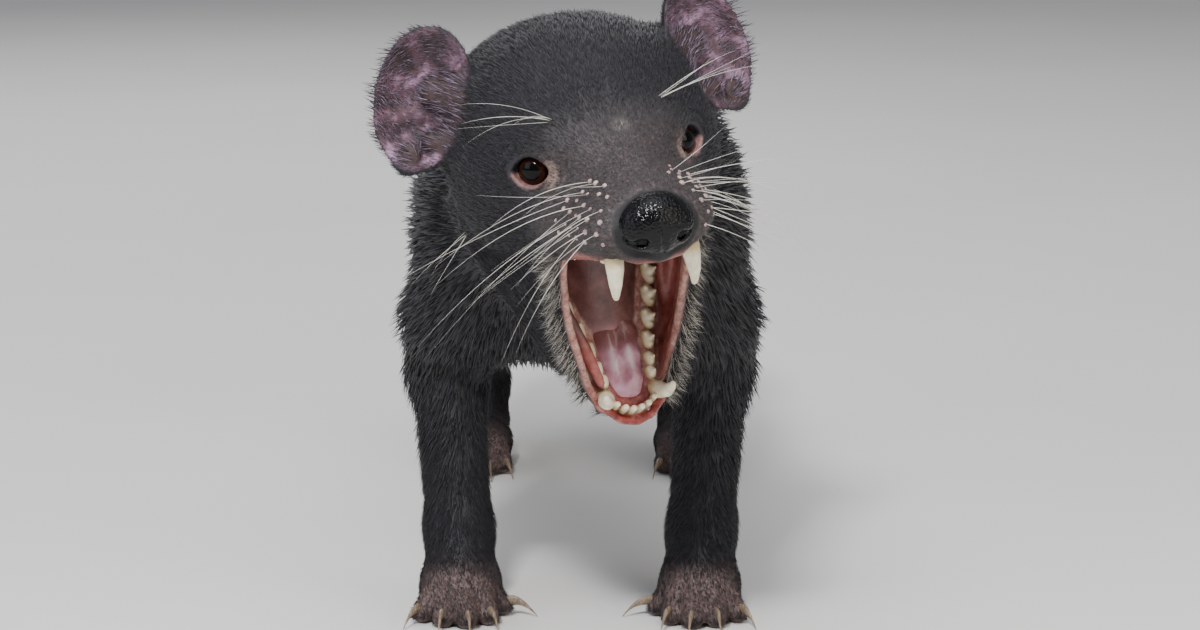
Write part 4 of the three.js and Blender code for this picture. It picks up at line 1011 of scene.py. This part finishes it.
# A cheek tooth's cusps: share of its half length ahead, thickness, share of its height and lean outwards
CUSPS = ((-0.12, 0.56, 1.0, 1.0), (0.62, 0.36, 0.55, 0.2), (-0.68, 0.36, 0.42, -0.5))


def tooth_form(place, tooth, gum_up, upward):
    side, ahead, long, broad, high = tooth
    if place < FIRST_CHEEK_TOOTH:
        root = (side, ahead, gum_up - upward * 3)
        edge = (side, ahead - 0.4 * upward, gum_up + upward * (high - 0.7))
        return taper(root, broad * 0.9, edge, broad * 0.7)
    forms = [ball((side, ahead, gum_up), (broad * 0.95, long, 2.6))]
    for shift, thick, share, lean in CUSPS:
        outer = side + lean * broad * 0.6
        foot = (mix(side, outer, 0.4), ahead + shift * long, gum_up - upward * 1.5)
        tip = (outer, ahead + shift * long * 1.05, gum_up + upward * (high * share - 0.45))
        forms.append(taper(foot, thick * broad + 0.9, tip, 0.5))
    return blend(1.8, *forms)


UPPER_CANINE = chain(
    (15.4, 45.2, -26, 4.2),
    (15.9, 46.4, -33, 3.6),
    (16.3, 46.2, -39, 2.7),
    (16.4, 45.2, -43.6, 1.7),
    (16.3, 44.6, -45, 1.3),
)
LOWER_CANINE = chain(
    (10.2, 46.5, -43, 3.8),
    (11.6, 48.6, -37, 3.7),
    (12.9, 50, -31.5, 2.9),
    (13.9, 49.4, -26.8, 2.0),
    (14.4, 48.5, -24.6, 1.3),
)


def tooth_row(teeth, gum_up, upward, canine):
    forms = [tooth_form(place, tooth, gum_up, upward) for place, tooth in enumerate(teeth)]
    half = nearest(canine, *forms)

    def field(x, y, z):
        return half(np.abs(x), y, z)

    return field


def add_teeth(material):
    rows = (
        ("upper_teeth", UPPER_TEETH, UPPER_GUM_UP, -1, UPPER_CANINE, (-30, -8, -50), (30, 60, -21)),
        ("lower_teeth", LOWER_TEETH, LOWER_GUM_UP, 1, LOWER_CANINE, (-30, -10, -49), (30, 60, -22)),
    )
    for name, teeth, gum_up, upward, canine, low, high in rows:
        points, quads = even_net(tooth_row(teeth, gum_up, upward, canine), low, high, TEETH_CELL)
        above = upward * (points[:, 2] - gum_up)
        placed = from_jaw(points) if upward > 0 else points
        row = mesh_piece(name, to_metres(from_head(placed)), quads)
        add_attribute(row, "near_gum", 0.7 * smooth(above, 3.2, -0.6))
        row.data.materials.append(material)


TONGUE_FLATTENED = 0.57  # the tongue's form is worked out this much narrower than it is
tongue_core = chain((0, -12, -47.5, 7.8), (0, 12, -46.2, 7.5), (0, 28, -45.2, 6.7), (0, 47.6, -43.4, 4.7))


def tongue_field(x, y, z):
    d = tongue_core(x * TONGUE_FLATTENED, y, z)
    groove = 1.2 * np.exp(-((x / 2.4) ** 2)) * smooth(y, 46, 36) * smooth(y, -4, 8) * smooth(z, -48, -44)
    folds = 0.3 * np.sin(y * 0.55 + 1.5 * np.sin(x * 0.4)) * smooth(z, -46, -41)
    return d + groove + folds


def add_tongue(material):
    points, quads = even_net(tongue_field, (-16, -21, -58), (16, 55, -36), TONGUE_CELL)
    tongue = mesh_piece("tongue_flesh", to_metres(from_head(from_jaw(points))), quads)
    x, y, _ = points.T
    # Painted shade at the back of the tongue
    add_attribute(tongue, "root", smooth(y, 33, 23))
    # Painted highlight: two pale streaks on the tongue's back, where the wet surface would catch light
    streaks = np.exp(-(((np.abs(x) - 3.6) / 1.5) ** 2)) * smooth(y, 26, 31) * smooth(y, 41, 34)
    add_attribute(tongue, "painted_glint", 0.8 * streaks)
    tongue.data.materials.append(material)
    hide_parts("tongue")


CLAW_LENGTH = 14.5
CLAW_RADIUS = 2.1
CLAW_TIP_RADIUS = 0.25
CLAW_FLATTENED = 0.72
CLAW_ARCH = 2.6


def add_claw(name, node, root, heading, material):
    """A horn-shaped cone bent down to its tip, flattened from side to side."""
    sizes = {"radius1": CLAW_RADIUS, "radius2": CLAW_TIP_RADIUS, "depth": CLAW_LENGTH}
    bpy.ops.mesh.primitive_cone_add(vertices=16, **sizes)
    claw = bpy.context.active_object
    claw.name = name
    bpy.ops.object.mode_set(mode="EDIT")
    bpy.ops.mesh.select_all(action="SELECT")
    bpy.ops.mesh.subdivide(number_cuts=7)
    bpy.ops.object.mode_set(mode="OBJECT")
    across = np.array([heading[1], -heading[0], 0.0])
    for vertex in claw.data.vertices:
        t = (vertex.co.z + CLAW_LENGTH / 2) / CLAW_LENGTH
        swell = 1 + 0.35 * math.sin(math.pi * min(1, t * 1.2))
        arch = CLAW_ARCH * 4 * t * (1 - t) - 1.2 * t * t
        at = root + np.array([*heading, 0.0]) * (t * CLAW_LENGTH) + across * vertex.co.x * CLAW_FLATTENED
        at = at + np.array([0, 0, vertex.co.y * swell + arch - (root[2] - 1.7) * t])
        vertex.co = Vector(to_metres(at))
    claw.data.update()
    bpy.ops.object.mode_set(mode="EDIT")
    bpy.ops.mesh.select_all(action="SELECT")
    bpy.ops.mesh.remove_doubles(threshold=1e-6)
    bpy.ops.mesh.normals_make_consistent(inside=False)
    bpy.ops.object.mode_set(mode="OBJECT")
    bpy.ops.object.shade_smooth()
    claw.data.materials.append(material)
    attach(claw, "root")
    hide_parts(node)


def add_claws(material):
    for end, toes, ahead in (("fore", FORE_TOES, FORE_PAW_AHEAD), ("hind", HIND_TOES, HIND_PAW_AHEAD)):
        for word, hand in (("right", -1), ("left", 1)):
            for number, (start, stop, radius) in enumerate(toes, 1):
                heading = np.array([stop[0] - start[0], stop[1] - start[1]], float)
                heading /= np.linalg.norm(heading)
                foot = np.array([PAW_SIDE + stop[0], ahead + stop[1]]) + heading * (radius - 4.5)
                root = np.array([hand * foot[0], foot[1], TOE_UP + 2.2])
                name = f"{end}_claw_{word}_{number}"
                add_claw(f"horn_{name}", name, root, heading * [hand, 1], material)


# Hair


def spikes(roots, normals, lie, length, width, lift, bend, jointed):
    """Closed thin spikes, each from its root along the lie of the coat. Jointed ones bend halfway."""
    across = unit(np.cross(normals, lie))
    flat = unit(np.cross(across, normals))
    rise = np.sin(lift)[:, None]
    run = np.cos(lift)[:, None]
    length = length[:, None]
    width = width[:, None] / 2
    levels = (0.0, 0.5, 1.0) if jointed else (0.0, 1.0)
    corners = ((-1.0, 0.0), (1.0, 0.0), (0.0, 0.6))
    points = []
    for level in levels:
        up = rise * level - bend[:, None] * level * level
        centre = roots + length * (flat * run * level + normals * up) - normals * (0.3 if level == 0 else 0)
        if level == 1:
            points.append(centre)
            continue
        thick = width * (1 - 0.35 * level)
        for sideways, upward in corners:
            points.append(centre + across * thick * sideways + normals * thick * upward)
    per = len(points)
    points = np.stack(points, 1)
    if jointed:
        faces = [(0, 2, 1)]
        for a, b in ((0, 1), (1, 2), (2, 0)):
            faces += [(a, b, b + 3), (a, b + 3, a + 3), (a + 3, b + 3, 6)]
    else:
        faces = [(0, 2, 1), (0, 1, 3), (1, 2, 3), (2, 0, 3)]
    faces = np.array(faces)[None] + np.arange(len(roots))[:, None, None] * per
    along = np.repeat([[0.0] * 3 + [0.5] * 3 + [1.0]] if jointed else [[0.0] * 3 + [1.0]], len(roots), 0)
    return points, faces.reshape(-1, 3), along


HEAD_TILE = 112  # how far from the head's origin its part of the map goes
LIMBS_UP = 96


def unwrapped(points, found):
    """A place from 0 to 1 on an unwrap of the skin's shape: head, trunk and limbs each in a tile."""
    x, y, z = points.T
    hx, hy, hz = found["head"]
    turn_head = np.arctan2(hx, hz + 20) / (2 * math.pi) + 0.5
    on_head = found["far"] < HEAD_TILE
    turn_body = np.arctan2(x, z - 150) / (2 * math.pi) + 0.5
    limb = (z < LIMBS_UP) & ~on_head & (y > -240)
    side = (x > 0) * 0.5
    turn_limb = np.arctan2(np.abs(x) - PAW_SIDE, y - np.where(y > 0, 110, -180)) / (2 * math.pi) + 0.5
    u = np.where(limb, 0.51 + side * 0.48 + turn_limb * 0.23, turn_body * 0.98)
    u = np.where(on_head, turn_head * 0.49, u)
    v = np.where(on_head, 0.51 + (hy + 115) / 190 * 0.47, 0.01 + (y + 480) / 760 * 0.47)
    v = np.where(limb, 0.51 + z / LIMBS_UP * 0.2 + (y > 0) * 0.24, v)
    return np.clip(np.stack([u, v], 1), 0.002, 0.996)


UV_PATCH = 0.0015  # half of the patch that each tuft fills on its map
SKIN_AREA = 300000  # roughly, in square millimetres: the number of tufts goes by it
FLOOR_CLEARANCE = 0.5
JOINTED_FROM = 3.4  # tufts longer than this bend halfway
TIP_SHARE = 0.55  # how much of the tips' own colour shows at the very tip
PIECE_TRIANGLES = 190000


def coat_piece(name, points, faces, along, places, masks, material):
    per = points.shape[1]
    piece = mesh_piece(name, to_metres(points.reshape(-1, 3)), faces)
    around = np.array([(-1, -1), (1, -1), (0, -0.4), (-0.7, 0.3), (0.7, 0.3), (0, 0.5), (0, 1)])
    around = around if per == 7 else around[[0, 1, 2, 6]]
    spots = (places[:, None] + around[None] * UV_PATCH).reshape(-1, 2)
    layer = piece.data.uv_layers.new(name="OFBake")
    corner = np.empty(len(piece.data.loops), np.int32)
    piece.data.loops.foreach_get("vertex_index", corner)
    layer.data.foreach_set("uv", spots[corner].astype(np.float32).ravel())
    add_attribute(piece, "tip", TIP_SHARE * along.ravel())
    for key, values in masks.items():
        add_attribute(piece, key, np.repeat(values, per))
    piece.data.materials.append(material)
    return piece


def scattered(skin, count, rng):
    """Random places on the skin, spread evenly by area, with the skin's direction there."""
    mesh = skin.data
    mesh.calc_loop_triangles()
    co = threes(mesh.vertices, "co").astype(float)
    normal = threes(mesh.vertices, "normal").astype(float)
    corners = threes(mesh.loop_triangles, "vertices", np.int32)
    a, b, c = co[corners[:, 0]], co[corners[:, 1]], co[corners[:, 2]]
    area = np.linalg.norm(np.cross(b - a, c - a), axis=1) / 2
    chosen = rng.choice(len(area), count, p=area / area.sum())
    r, s = rng.random(count), rng.random(count)
    over = r + s > 1
    r[over], s[over] = 1 - r[over], 1 - s[over]
    weights = np.stack([1 - r - s, r, s], 1)[:, :, None]
    at = (co[corners[chosen]] * weights).sum(1)
    out = unit((normal[corners[chosen]] * weights).sum(1))
    return (at / MM - ORIGIN) * [1, -1, 1], out * [1, -1, 1]


def lie_of_coat(points, found):
    """Which way the hair lies: back from the nose, along the jaw, down the legs and along the tail."""
    x, y, z = points.T
    hx, hy, hz = found["head"]
    jx, jy, jz = found["jaw"]
    zero = np.zeros_like(x)
    back = np.stack([0.12 * np.sign(x) + zero, -1 + zero, -0.25 - 0.3 * smooth(z, 190, 120)], 1)
    down = np.stack([0.1 * np.sign(x) + zero, -0.35 + zero, -1 + zero], 1)
    tail_way = np.stack([zero, -0.92 + zero, -0.38 + zero], 1)
    leg = (smooth(z, 128, 92) * smooth(np.abs(x), 18, 34))[:, None]
    lie = mix(unit(back), unit(down), leg)
    toes = (smooth(z, 30, 20))[:, None]
    lie = mix(lie, np.array([0, 0.9, -0.3]), toes)
    lie = mix(lie, unit(tail_way), smooth(y, -215, -250)[:, None])
    face = unit(np.stack([hx * 1.25, hy - 74, hz + 22], 1))
    along_jaw = unit(np.stack([jx * 1.5, jy - 72, (jz + 44) * 0.8 - 4], 1))
    off_lip = unit(np.stack([0.7 * np.sign(jx) + zero, 0.8 + zero, -0.5 + zero], 1))
    along_jaw = mix(along_jaw, off_lip, found["fringe"][:, None])
    turned = np.stack(
        [
            along_jaw[:, 0],
            along_jaw[:, 1] * math.cos(GAPE) + along_jaw[:, 2] * math.sin(GAPE),
            -along_jaw[:, 1] * math.sin(GAPE) + along_jaw[:, 2] * math.cos(GAPE),
        ],
        1,
    )
    on_jaw = smooth(hz, -34, -50)[:, None]
    face = mix(face, turned, on_jaw) @ HEAD_AXES.T
    return unit(mix(lie, face, np.maximum(smooth(found["far"], 122, 84), found["on_jaw"])[:, None]))


def hair_length(points, found, sizes):
    z = points[:, 2]
    hx, hy, hz = found["head"]
    body = mix(sizes.leg_hair, sizes.body_hair, smooth(z, 40, 140))
    body = mix(sizes.paw_hair, body, smooth(z, 18, 46))
    head = mix(sizes.crown_hair, sizes.muzzle_hair, smooth(hy, -34, 24))
    head *= mix(1, 0.55, np.maximum(found["around_eye"], found["lid_edge"]))
    off, _, reach2 = ear_parts(np.abs(hx), hy, hz)
    on_ear = smooth(np.abs(off), 3.5, 1.8) * smooth(reach2, 1.2, 1.0)
    head = mix(head, sizes.ear_hair, on_ear)
    jaw = mix(sizes.crown_hair, sizes.muzzle_hair, smooth(found["jaw"][1], 10, 52))
    head = mix(head, jaw, found["on_jaw"])
    head = mix(head, sizes.fringe_hair, found["fringe"])
    on_head = smooth(found["far"], 126, 88) * smooth(hy, -92, -62)
    return mix(body, head, np.maximum(on_head, found["on_jaw"]))


def coat_markings(points, found, rng):
    """The hair's colours at each root: pale on rump and lip, brown on the muzzle, pale violet in the ear,
    partly its own colour and partly painted sheen.
    """
    count = len(points)
    hx, hy, hz = found["head"]
    brow_spot = np.exp(-(((hx - 2.4) ** 2 + (hy - 16) ** 2 + (hz - 14) ** 2) / 9))
    fringe = found["fringe"] * (rng.random(count) < 0.5) * rng.uniform(0.5, 1, count)
    return {
        "shade": np.clip(rng.normal(0.45, 0.22, count), 0, 1),
        "pale": np.maximum.reduce([found["rump"], fringe, 0.8 * brow_spot]),
        "brown": np.maximum(found["muzzle"], 0.8 * found["paw"]) * rng.uniform(0.3, 1, count),
        "ear": found["ear"] * rng.uniform(0.25, 1, count),
    }


# How much thinner the coat grows on some zones
THINNED = {"muzzle": 0.5, "ear": 0.6, "paw": 0.25, "around_eye": 0.75, "fringe": -0.3}


def add_coat(skin, material, sizes):
    rng = np.random.default_rng(SEED)
    tried = sizes.tries
    points, normals = scattered(skin, tried, rng)
    found = zones(points)
    length = hair_length(points, found, sizes)
    width = mix(sizes.fine_tuft, sizes.coarse_tuft, smooth(length, 3, 15)) * (1 - 0.45 * found["fringe"])
    density = sizes.cover / (length * width)
    bare = [found[name] for name in ("mouth", "lip", "rim", "lid_edge", "nose", "sole")]
    for zone, share in THINNED.items():
        density *= 1 - share * found[zone]
    keep = density * (1 - smooth(np.maximum.reduce(bare), 0.15, 0.5))
    kept = rng.random(tried) < keep * SKIN_AREA / tried
    points, normals, length, width = points[kept], normals[kept], length[kept], width[kept]
    found = zones(points)
    count = len(points)
    swirl = np.sin(points @ np.array([[0.05, 0.02, 0.04], [0.03, 0.06, -0.02], [-0.02, 0.03, 0.07]]))
    stray = 0.1 + 0.26 * found["fringe"][:, None]
    lie = unit(lie_of_coat(points, found) + 0.16 * swirl + stray * rng.normal(0, 1, (count, 3)))
    lie = unit(lie - normals * (lie * normals).sum(1, keepdims=True))
    length = length * rng.uniform(0.7 - 0.25 * found["fringe"], 1.25 + 0.25 * found["fringe"])
    lift = np.radians(rng.uniform(6, 19, count) + 8 * smooth(length, 6, 2) + 36 * found["fringe"])
    bend = rng.uniform(0.0, 0.16, count)
    masks = coat_markings(points, found, rng)
    places = unwrapped(points, found)
    tip_up = points[:, 2] + length * (lie[:, 2] * np.cos(lift) + normals[:, 2] * np.sin(lift))
    clear = tip_up > FLOOR_CLEARANCE
    jointed = length > JOINTED_FROM
    for kind, chosen, triangles in (("long", jointed & clear, 10), ("short", ~jointed & clear, 4)):
        order = np.flatnonzero(chosen)
        order = order[np.argsort(points[order, 1], kind="stable")]
        parts = max(1, math.ceil(len(order) * triangles / PIECE_TRIANGLES))
        for number, part in enumerate(np.array_split(order, parts), 1):
            measures = [values[part] for values in (points, normals, lie, length, width, lift, bend)]
            shape = spikes(*measures, jointed=kind == "long")
            picked = {key: values[part] for key, values in masks.items()}
            coat_piece(f"coat_{kind}_{number}", *shape, places[part], picked, material)


TUBE_STEPS = 10


def tubes(name, roots, heads, lengths, droop, radius):
    """Long tapering hairs as closed square tubes, each bending towards droop."""
    across = unit(np.cross(heads, [0.0, 0.0, 1.0]))
    over = unit(np.cross(across, heads))
    points = []
    for step in range(TUBE_STEPS + 1):
        t = step / TUBE_STEPS
        centre = roots + lengths[:, None] * (heads * t + droop * t * t)
        thick = radius[:, None] * (1 - 0.86 * t**1.3)
        for side in range(4):
            angle = side * math.pi / 2
            points.append(centre + thick * (across * math.cos(angle) + over * math.sin(angle)))
    points = np.stack(points, 1)
    faces = []
    for step in range(TUBE_STEPS):
        for side in range(4):
            a = step * 4 + side
            b = step * 4 + (side + 1) % 4
            faces.append((a, b, b + 4, a + 4))
    last = TUBE_STEPS * 4
    faces += [(3, 2, 1, 0), (last, last + 1, last + 2, last + 3)]
    faces = np.array(faces)[None] + np.arange(len(roots))[:, None, None] * points.shape[1]
    return mesh_piece(name, to_metres(points.reshape(-1, 3)), faces.reshape(-1, 4))


ROOT_REACH = 40.0  # how far from its inner point a root may come out


def on_skin(inside, outward):
    """Where lines from points inside the head come out of its skin, all in the head's frame."""
    low = np.zeros(len(inside))
    high = np.full(len(inside), ROOT_REACH)
    for _ in range(18):
        middle = (low + high) / 2
        at = from_head(inside + outward * middle[:, None])
        within = skin_field(*at.T) < 0
        low = np.where(within, middle, low)
        high = np.where(within, high, middle)
    return inside + outward * low[:, None]


# Rows of whiskers on the pad: how far up it the row is, its first and last place ahead, and how many
WHISKER_ROWS = [
    (-1.8, 27, 37, 3),
    (-4.6, 28, 44, 4),
    (-7.8, 25, 47, 5),
    (-11.4, 26, 50, 6),
    (-15.4, 25, 52, 6),
    (-19.4, 26, 53, 5),
]
# Other long hairs, in tufts: root, way out of the skin, heading, how many, and length
HAIR_TUFTS = [
    ((23, 3.5, 19), (0.2, 0.35, 0.9), (0.85, 0.2, 0.4), 5, 46),
    ((50, -50, -37), (0.9, 0.2, -0.4), (0.85, 0.35, -0.35), 4, 34),
]
WHISKER_REACH = 95  # how far to either side a whisker may go, from the animal's middle
WHISKER_SHARE = 0.64  # how many of the bumps carry a whisker
# The least and most that a whisker bends to the side, back and down, as a share of its length
WHISKER_DROOP = ((-0.1, 0.1), (-0.4, -0.05), (-0.46, 0.04))


def whisker_roots(rng, longest):
    """Roots on the skin, headings and lengths of the whiskers, in the head's frame."""
    inside, outward, heads, lengths = [], [], [], []
    for row, (up, first, last, count) in enumerate(WHISKER_ROWS):
        lower = row / (len(WHISKER_ROWS) - 1)
        for place in range(count):
            share = place / (count - 1)
            for hand in (-1, 1):
                ahead = mix(first, last, share) + rng.uniform(-0.8, 0.8)
                inside.append((0, ahead, up + rng.uniform(-0.6, 0.6)))
                outward.append((hand, 0, 0))
                forward = rng.uniform(-0.2, 0.3)
                heads.append((hand, forward, mix(0.3, -0.62, lower) + rng.uniform(-0.16, 0.16)))
                size = mix(1.0, 0.4, share) * mix(0.62, 1, min(1, 2 * lower)) * rng.uniform(0.7, 1.08)
                lengths.append(size * longest)
    for root, way, heading, count, length in HAIR_TUFTS:
        for hand in (-1, 1):
            for _ in range(count):
                way_out = np.array(way) * [hand, 1, 1]
                inside.append(np.array(root) * [hand, 1, 1] - way_out * 9 + rng.uniform(-1, 1, 3))
                outward.append(way_out)
                heads.append(np.array(heading) * [hand, 1, 1] + rng.normal(0, 0.16, 3))
                lengths.append(length * rng.uniform(0.55, 1.05))
    outward = unit(np.array(outward, float))
    return on_skin(np.array(inside, float), outward), outward, unit(np.array(heads, float)), np.array(lengths)


def add_whiskers(material, root_material, sizes):
    rng = np.random.default_rng(SEED + 1)
    roots, outward, heads, lengths = whisker_roots(rng, sizes.whisker)
    on_pad = from_head(roots - 0.5 * outward)[: 2 * sum(row[3] for row in WHISKER_ROWS)]
    grown = (rng.random(len(roots)) < WHISKER_SHARE) | (np.arange(len(roots)) >= len(on_pad))
    roots, heads, lengths = roots[grown], heads[grown], lengths[grown]
    count = len(roots)
    droop = np.stack([rng.uniform(least, most, count) for least, most in WHISKER_DROOP], 1)
    placed = from_head(roots)
    headings = heads @ HEAD_AXES.T
    ends = np.abs(headings[:, 0] + droop[:, 0])
    room = WHISKER_REACH - placed[:, 0] * np.sign(headings[:, 0])
    lengths = np.minimum(lengths, room / ends)
    whiskers = tubes("whiskers", placed, headings, lengths, droop, rng.uniform(0.08, 0.17, count))
    whiskers.data.materials.append(material)
    bpy.ops.mesh.primitive_ico_sphere_add(subdivisions=2, radius=1)
    pattern = bpy.context.active_object
    shape = np.array([vertex.co[:] for vertex in pattern.data.vertices])
    faces = np.array([face.vertices[:] for face in pattern.data.polygons])
    bpy.data.objects.remove(pattern)
    size = rng.uniform(0.85, 1.35, len(on_pad))[:, None, None]
    points = on_pad[:, None] + shape[None] * size
    faces = (faces[None] + np.arange(len(on_pad))[:, None, None] * len(shape)).reshape(-1, 3)
    bumps = mesh_piece("whisker_bumps", to_metres(points.reshape(-1, 3)), faces)
    bumps.data.materials.append(root_material)


# The solids that the skin stands for
FLESH = ["head", "lower_jaw", "neck", "torso", "tail", "ear_left", "ear_right"]
for end in ("fore_leg", "hind_leg", "thigh", "fore_paw", "hind_paw"):
    FLESH += [f"{end}_left", f"{end}_right"]

# Camera, where the photograph was taken from
CAMERA_AT = (8.8, 1689.2, 408.07)
CAMERA_DOWN = math.radians(10)
LENS = 108.69
SENSOR = 36

# The studio's light, with each panel's place and size in metres, power and colour
SKY = ("#c9ccd2", 0.45)
PANELS_AIM = (0, -0.15, 0.15)
PANELS = (
    ("sky_panel", (0.0, -0.9, 2.2), 2.2, 34, "#f2f6ff"),
    ("key_panel", (-0.3, -1.75, 1.55), 0.26, 40, "#ffffff"),
    ("left_panel", (1.6, -1.6, 0.9), 1.2, 16, "#fff6ea"),
    ("right_panel", (-1.8, -1.2, 1.0), 1.4, 12, "#eef4ff"),
    ("rim_panel", (-0.6, 1.8, 1.5), 1.2, 18, "#ffffff"),
)


class DevilSizes(bpy.types.PropertyGroup):
    """Sizes of the coat and whiskers, in millimetres."""

    body_hair: FloatProperty(name="Body hair", description="Length of the hair on the trunk", default=15.0)
    crown_hair: FloatProperty(name="Crown hair", description="Length of the hair on the crown", default=6.5)
    muzzle_hair: FloatProperty(name="Muzzle hair", description="Length of hair on the muzzle", default=2.2)
    leg_hair: FloatProperty(name="Leg hair", description="Length of the hair on the legs", default=6.0)
    paw_hair: FloatProperty(name="Paw hair", description="Length of the hair on the paws", default=3.0)
    ear_hair: FloatProperty(name="Ear hair", description="Length of the hair on the ears", default=2.8)
    fringe_hair: FloatProperty(name="Fringe", description="Length of hair beside the lower lip", default=7.0)
    whisker: FloatProperty(name="Whisker", description="Length of the longest whiskers", default=84.0)
    fine_tuft: FloatProperty(name="Fine tuft", description="Width of the shortest tufts", default=0.3)
    coarse_tuft: FloatProperty(name="Coarse tuft", description="Width of the longest tufts", default=0.75)
    cover: FloatProperty(name="Cover", description="How many tufts lie over any place", default=2.65)
    tries: IntProperty(name="Tries", description="Places on the skin that may carry a tuft", default=2400000)


class DevilColours(bpy.types.PropertyGroup):
    """Colours of the coat, skin and floor, as sRGB hex values."""

    # The bluish tint of these hair colours is a painted reflection of the sky, and the light hair is partly
    # painted sheen
    hair: StringProperty(name="Hair", description="The coat's middle colour", default="#111116")
    hair_dark: StringProperty(name="Dark hair", description="The coat's darkest hair", default="#07070a")
    hair_light: StringProperty(name="Light hair", description="The coat's lightest hair", default="#2c2e3b")
    under_coat: StringProperty(name="Skin", description="Skin under the coat", default="#18171b")
    under_coat_light: StringProperty(name="Light skin", description="Paler skin there", default="#26242a")
    floor: StringProperty(name="Floor", description="The studio floor", default="#dedcd8")


def ready():
    """The scene's sizes and colours, with nothing selected."""
    bpy.ops.object.select_all(action="DESELECT")
    return bpy.context.scene.devil_sizes, bpy.context.scene.devil_colours


class DEVIL_OT_stage(bpy.types.Operator):
    """Add a pale floor, soft lights and the photograph's camera"""

    bl_idname = "devil.stage"
    bl_label = "Stage"

    def execute(self, context):
        _, colours = ready()
        bpy.ops.mesh.primitive_plane_add(size=40, location=(0, 0, 0))
        floor = context.active_object
        floor.name = "floor"
        floor.data.materials.append(floor_material(colours))
        world = bpy.data.worlds.new("studio")
        context.scene.world = world
        world.use_nodes = True
        background = world.node_tree.nodes["Background"]
        background.inputs["Color"].default_value = linear(SKY[0])
        background.inputs["Strength"].default_value = SKY[1]
        for name, place, size, power, colour in PANELS:
            bpy.ops.object.light_add(type="AREA", location=place)
            lamp = context.active_object
            lamp.name = name
            lamp.data.size = size
            lamp.data.energy = power
            lamp.data.color = linear(colour)[:3]
            aim = Vector(PANELS_AIM) - Vector(place)
            lamp.rotation_euler = aim.to_track_quat("-Z", "Y").to_euler()
        place = Vector(to_metres(CAMERA_AT))
        bpy.ops.object.camera_add(location=place, rotation=(math.pi / 2 - CAMERA_DOWN, 0, 0))
        camera = context.active_object
        camera.data.lens = LENS
        camera.data.sensor_width = SENSOR
        context.scene.camera = camera
        return {"FINISHED"}


class DEVIL_OT_skin(bpy.types.Operator):
    """Add one skin over the whole animal, lying under the coat"""

    bl_idname = "devil.skin"
    bl_label = "Skin"

    def execute(self, context):
        _, colours = ready()
        skin = add_skin()
        skin.data.materials.append(skin_material(colours))
        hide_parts(*FLESH)
        return {"FINISHED"}


class DEVIL_OT_face(bpy.types.Operator):
    """Add the nose pad, eyes, teeth and tongue"""

    bl_idname = "devil.face"
    bl_label = "Nose, eyes, teeth and tongue"

    def execute(self, context):
        ready()
        add_nose(nose_material())
        eye = eye_material()
        for hand, word in ((-1, "right"), (1, "left")):
            add_eye(hand, word, eye)
        add_teeth(tooth_material())
        add_tongue(tongue_material())
        return {"FINISHED"}


class DEVIL_OT_claws(bpy.types.Operator):
    """Add a horn claw to each toe"""

    bl_idname = "devil.claws"
    bl_label = "Claws"

    def execute(self, context):
        ready()
        add_claws(claw_material())
        return {"FINISHED"}


class DEVIL_OT_coat(bpy.types.Operator):
    """Add the coat as tufts of guard hair that follow its lie"""

    bl_idname = "devil.coat"
    bl_label = "Coat"

    def execute(self, context):
        sizes, colours = ready()
        add_coat(bpy.data.objects["skin"], coat_material(colours), sizes)
        return {"FINISHED"}


class DEVIL_OT_whiskers(bpy.types.Operator):
    """Add the whiskers and the bumps that they grow from"""

    bl_idname = "devil.whiskers"
    bl_label = "Whiskers"

    def execute(self, context):
        sizes, _ = ready()
        add_whiskers(whisker_material(), follicle_material(), sizes)
        return {"FINISHED"}


STEPS = (DEVIL_OT_stage, DEVIL_OT_skin, DEVIL_OT_face, DEVIL_OT_claws, DEVIL_OT_coat, DEVIL_OT_whiskers)


class DEVIL_PT_sidebar(bpy.types.Panel):
    """The animal's pieces and sizes"""

    bl_idname = "DEVIL_PT_sidebar"
    bl_label = "Devil"
    bl_space_type = "VIEW_3D"
    bl_region_type = "UI"
    bl_category = "Devil"

    def draw(self, context):
        for group in (context.scene.devil_sizes, context.scene.devil_colours):
            for key in group.__annotations__:
                self.layout.prop(group, key)
        for step in STEPS:
            self.layout.operator(step.bl_idname)


CLASSES = (DevilSizes, DevilColours, *STEPS, DEVIL_PT_sidebar)


def register():
    for cls in CLASSES:
        bpy.utils.register_class(cls)
    bpy.types.Scene.devil_sizes = PointerProperty(type=DevilSizes)
    bpy.types.Scene.devil_colours = PointerProperty(type=DevilColours)


def unregister():
    del bpy.types.Scene.devil_colours
    del bpy.types.Scene.devil_sizes
    for cls in reversed(CLASSES):
        bpy.utils.unregister_class(cls)


def main():
    register()
    bpy.ops.devil.stage()
    bpy.ops.devil.skin()
    bpy.ops.devil.face()
    bpy.ops.devil.claws()
    bpy.ops.devil.coat()
    bpy.ops.devil.whiskers()


if __name__ == "__main__":
    main()
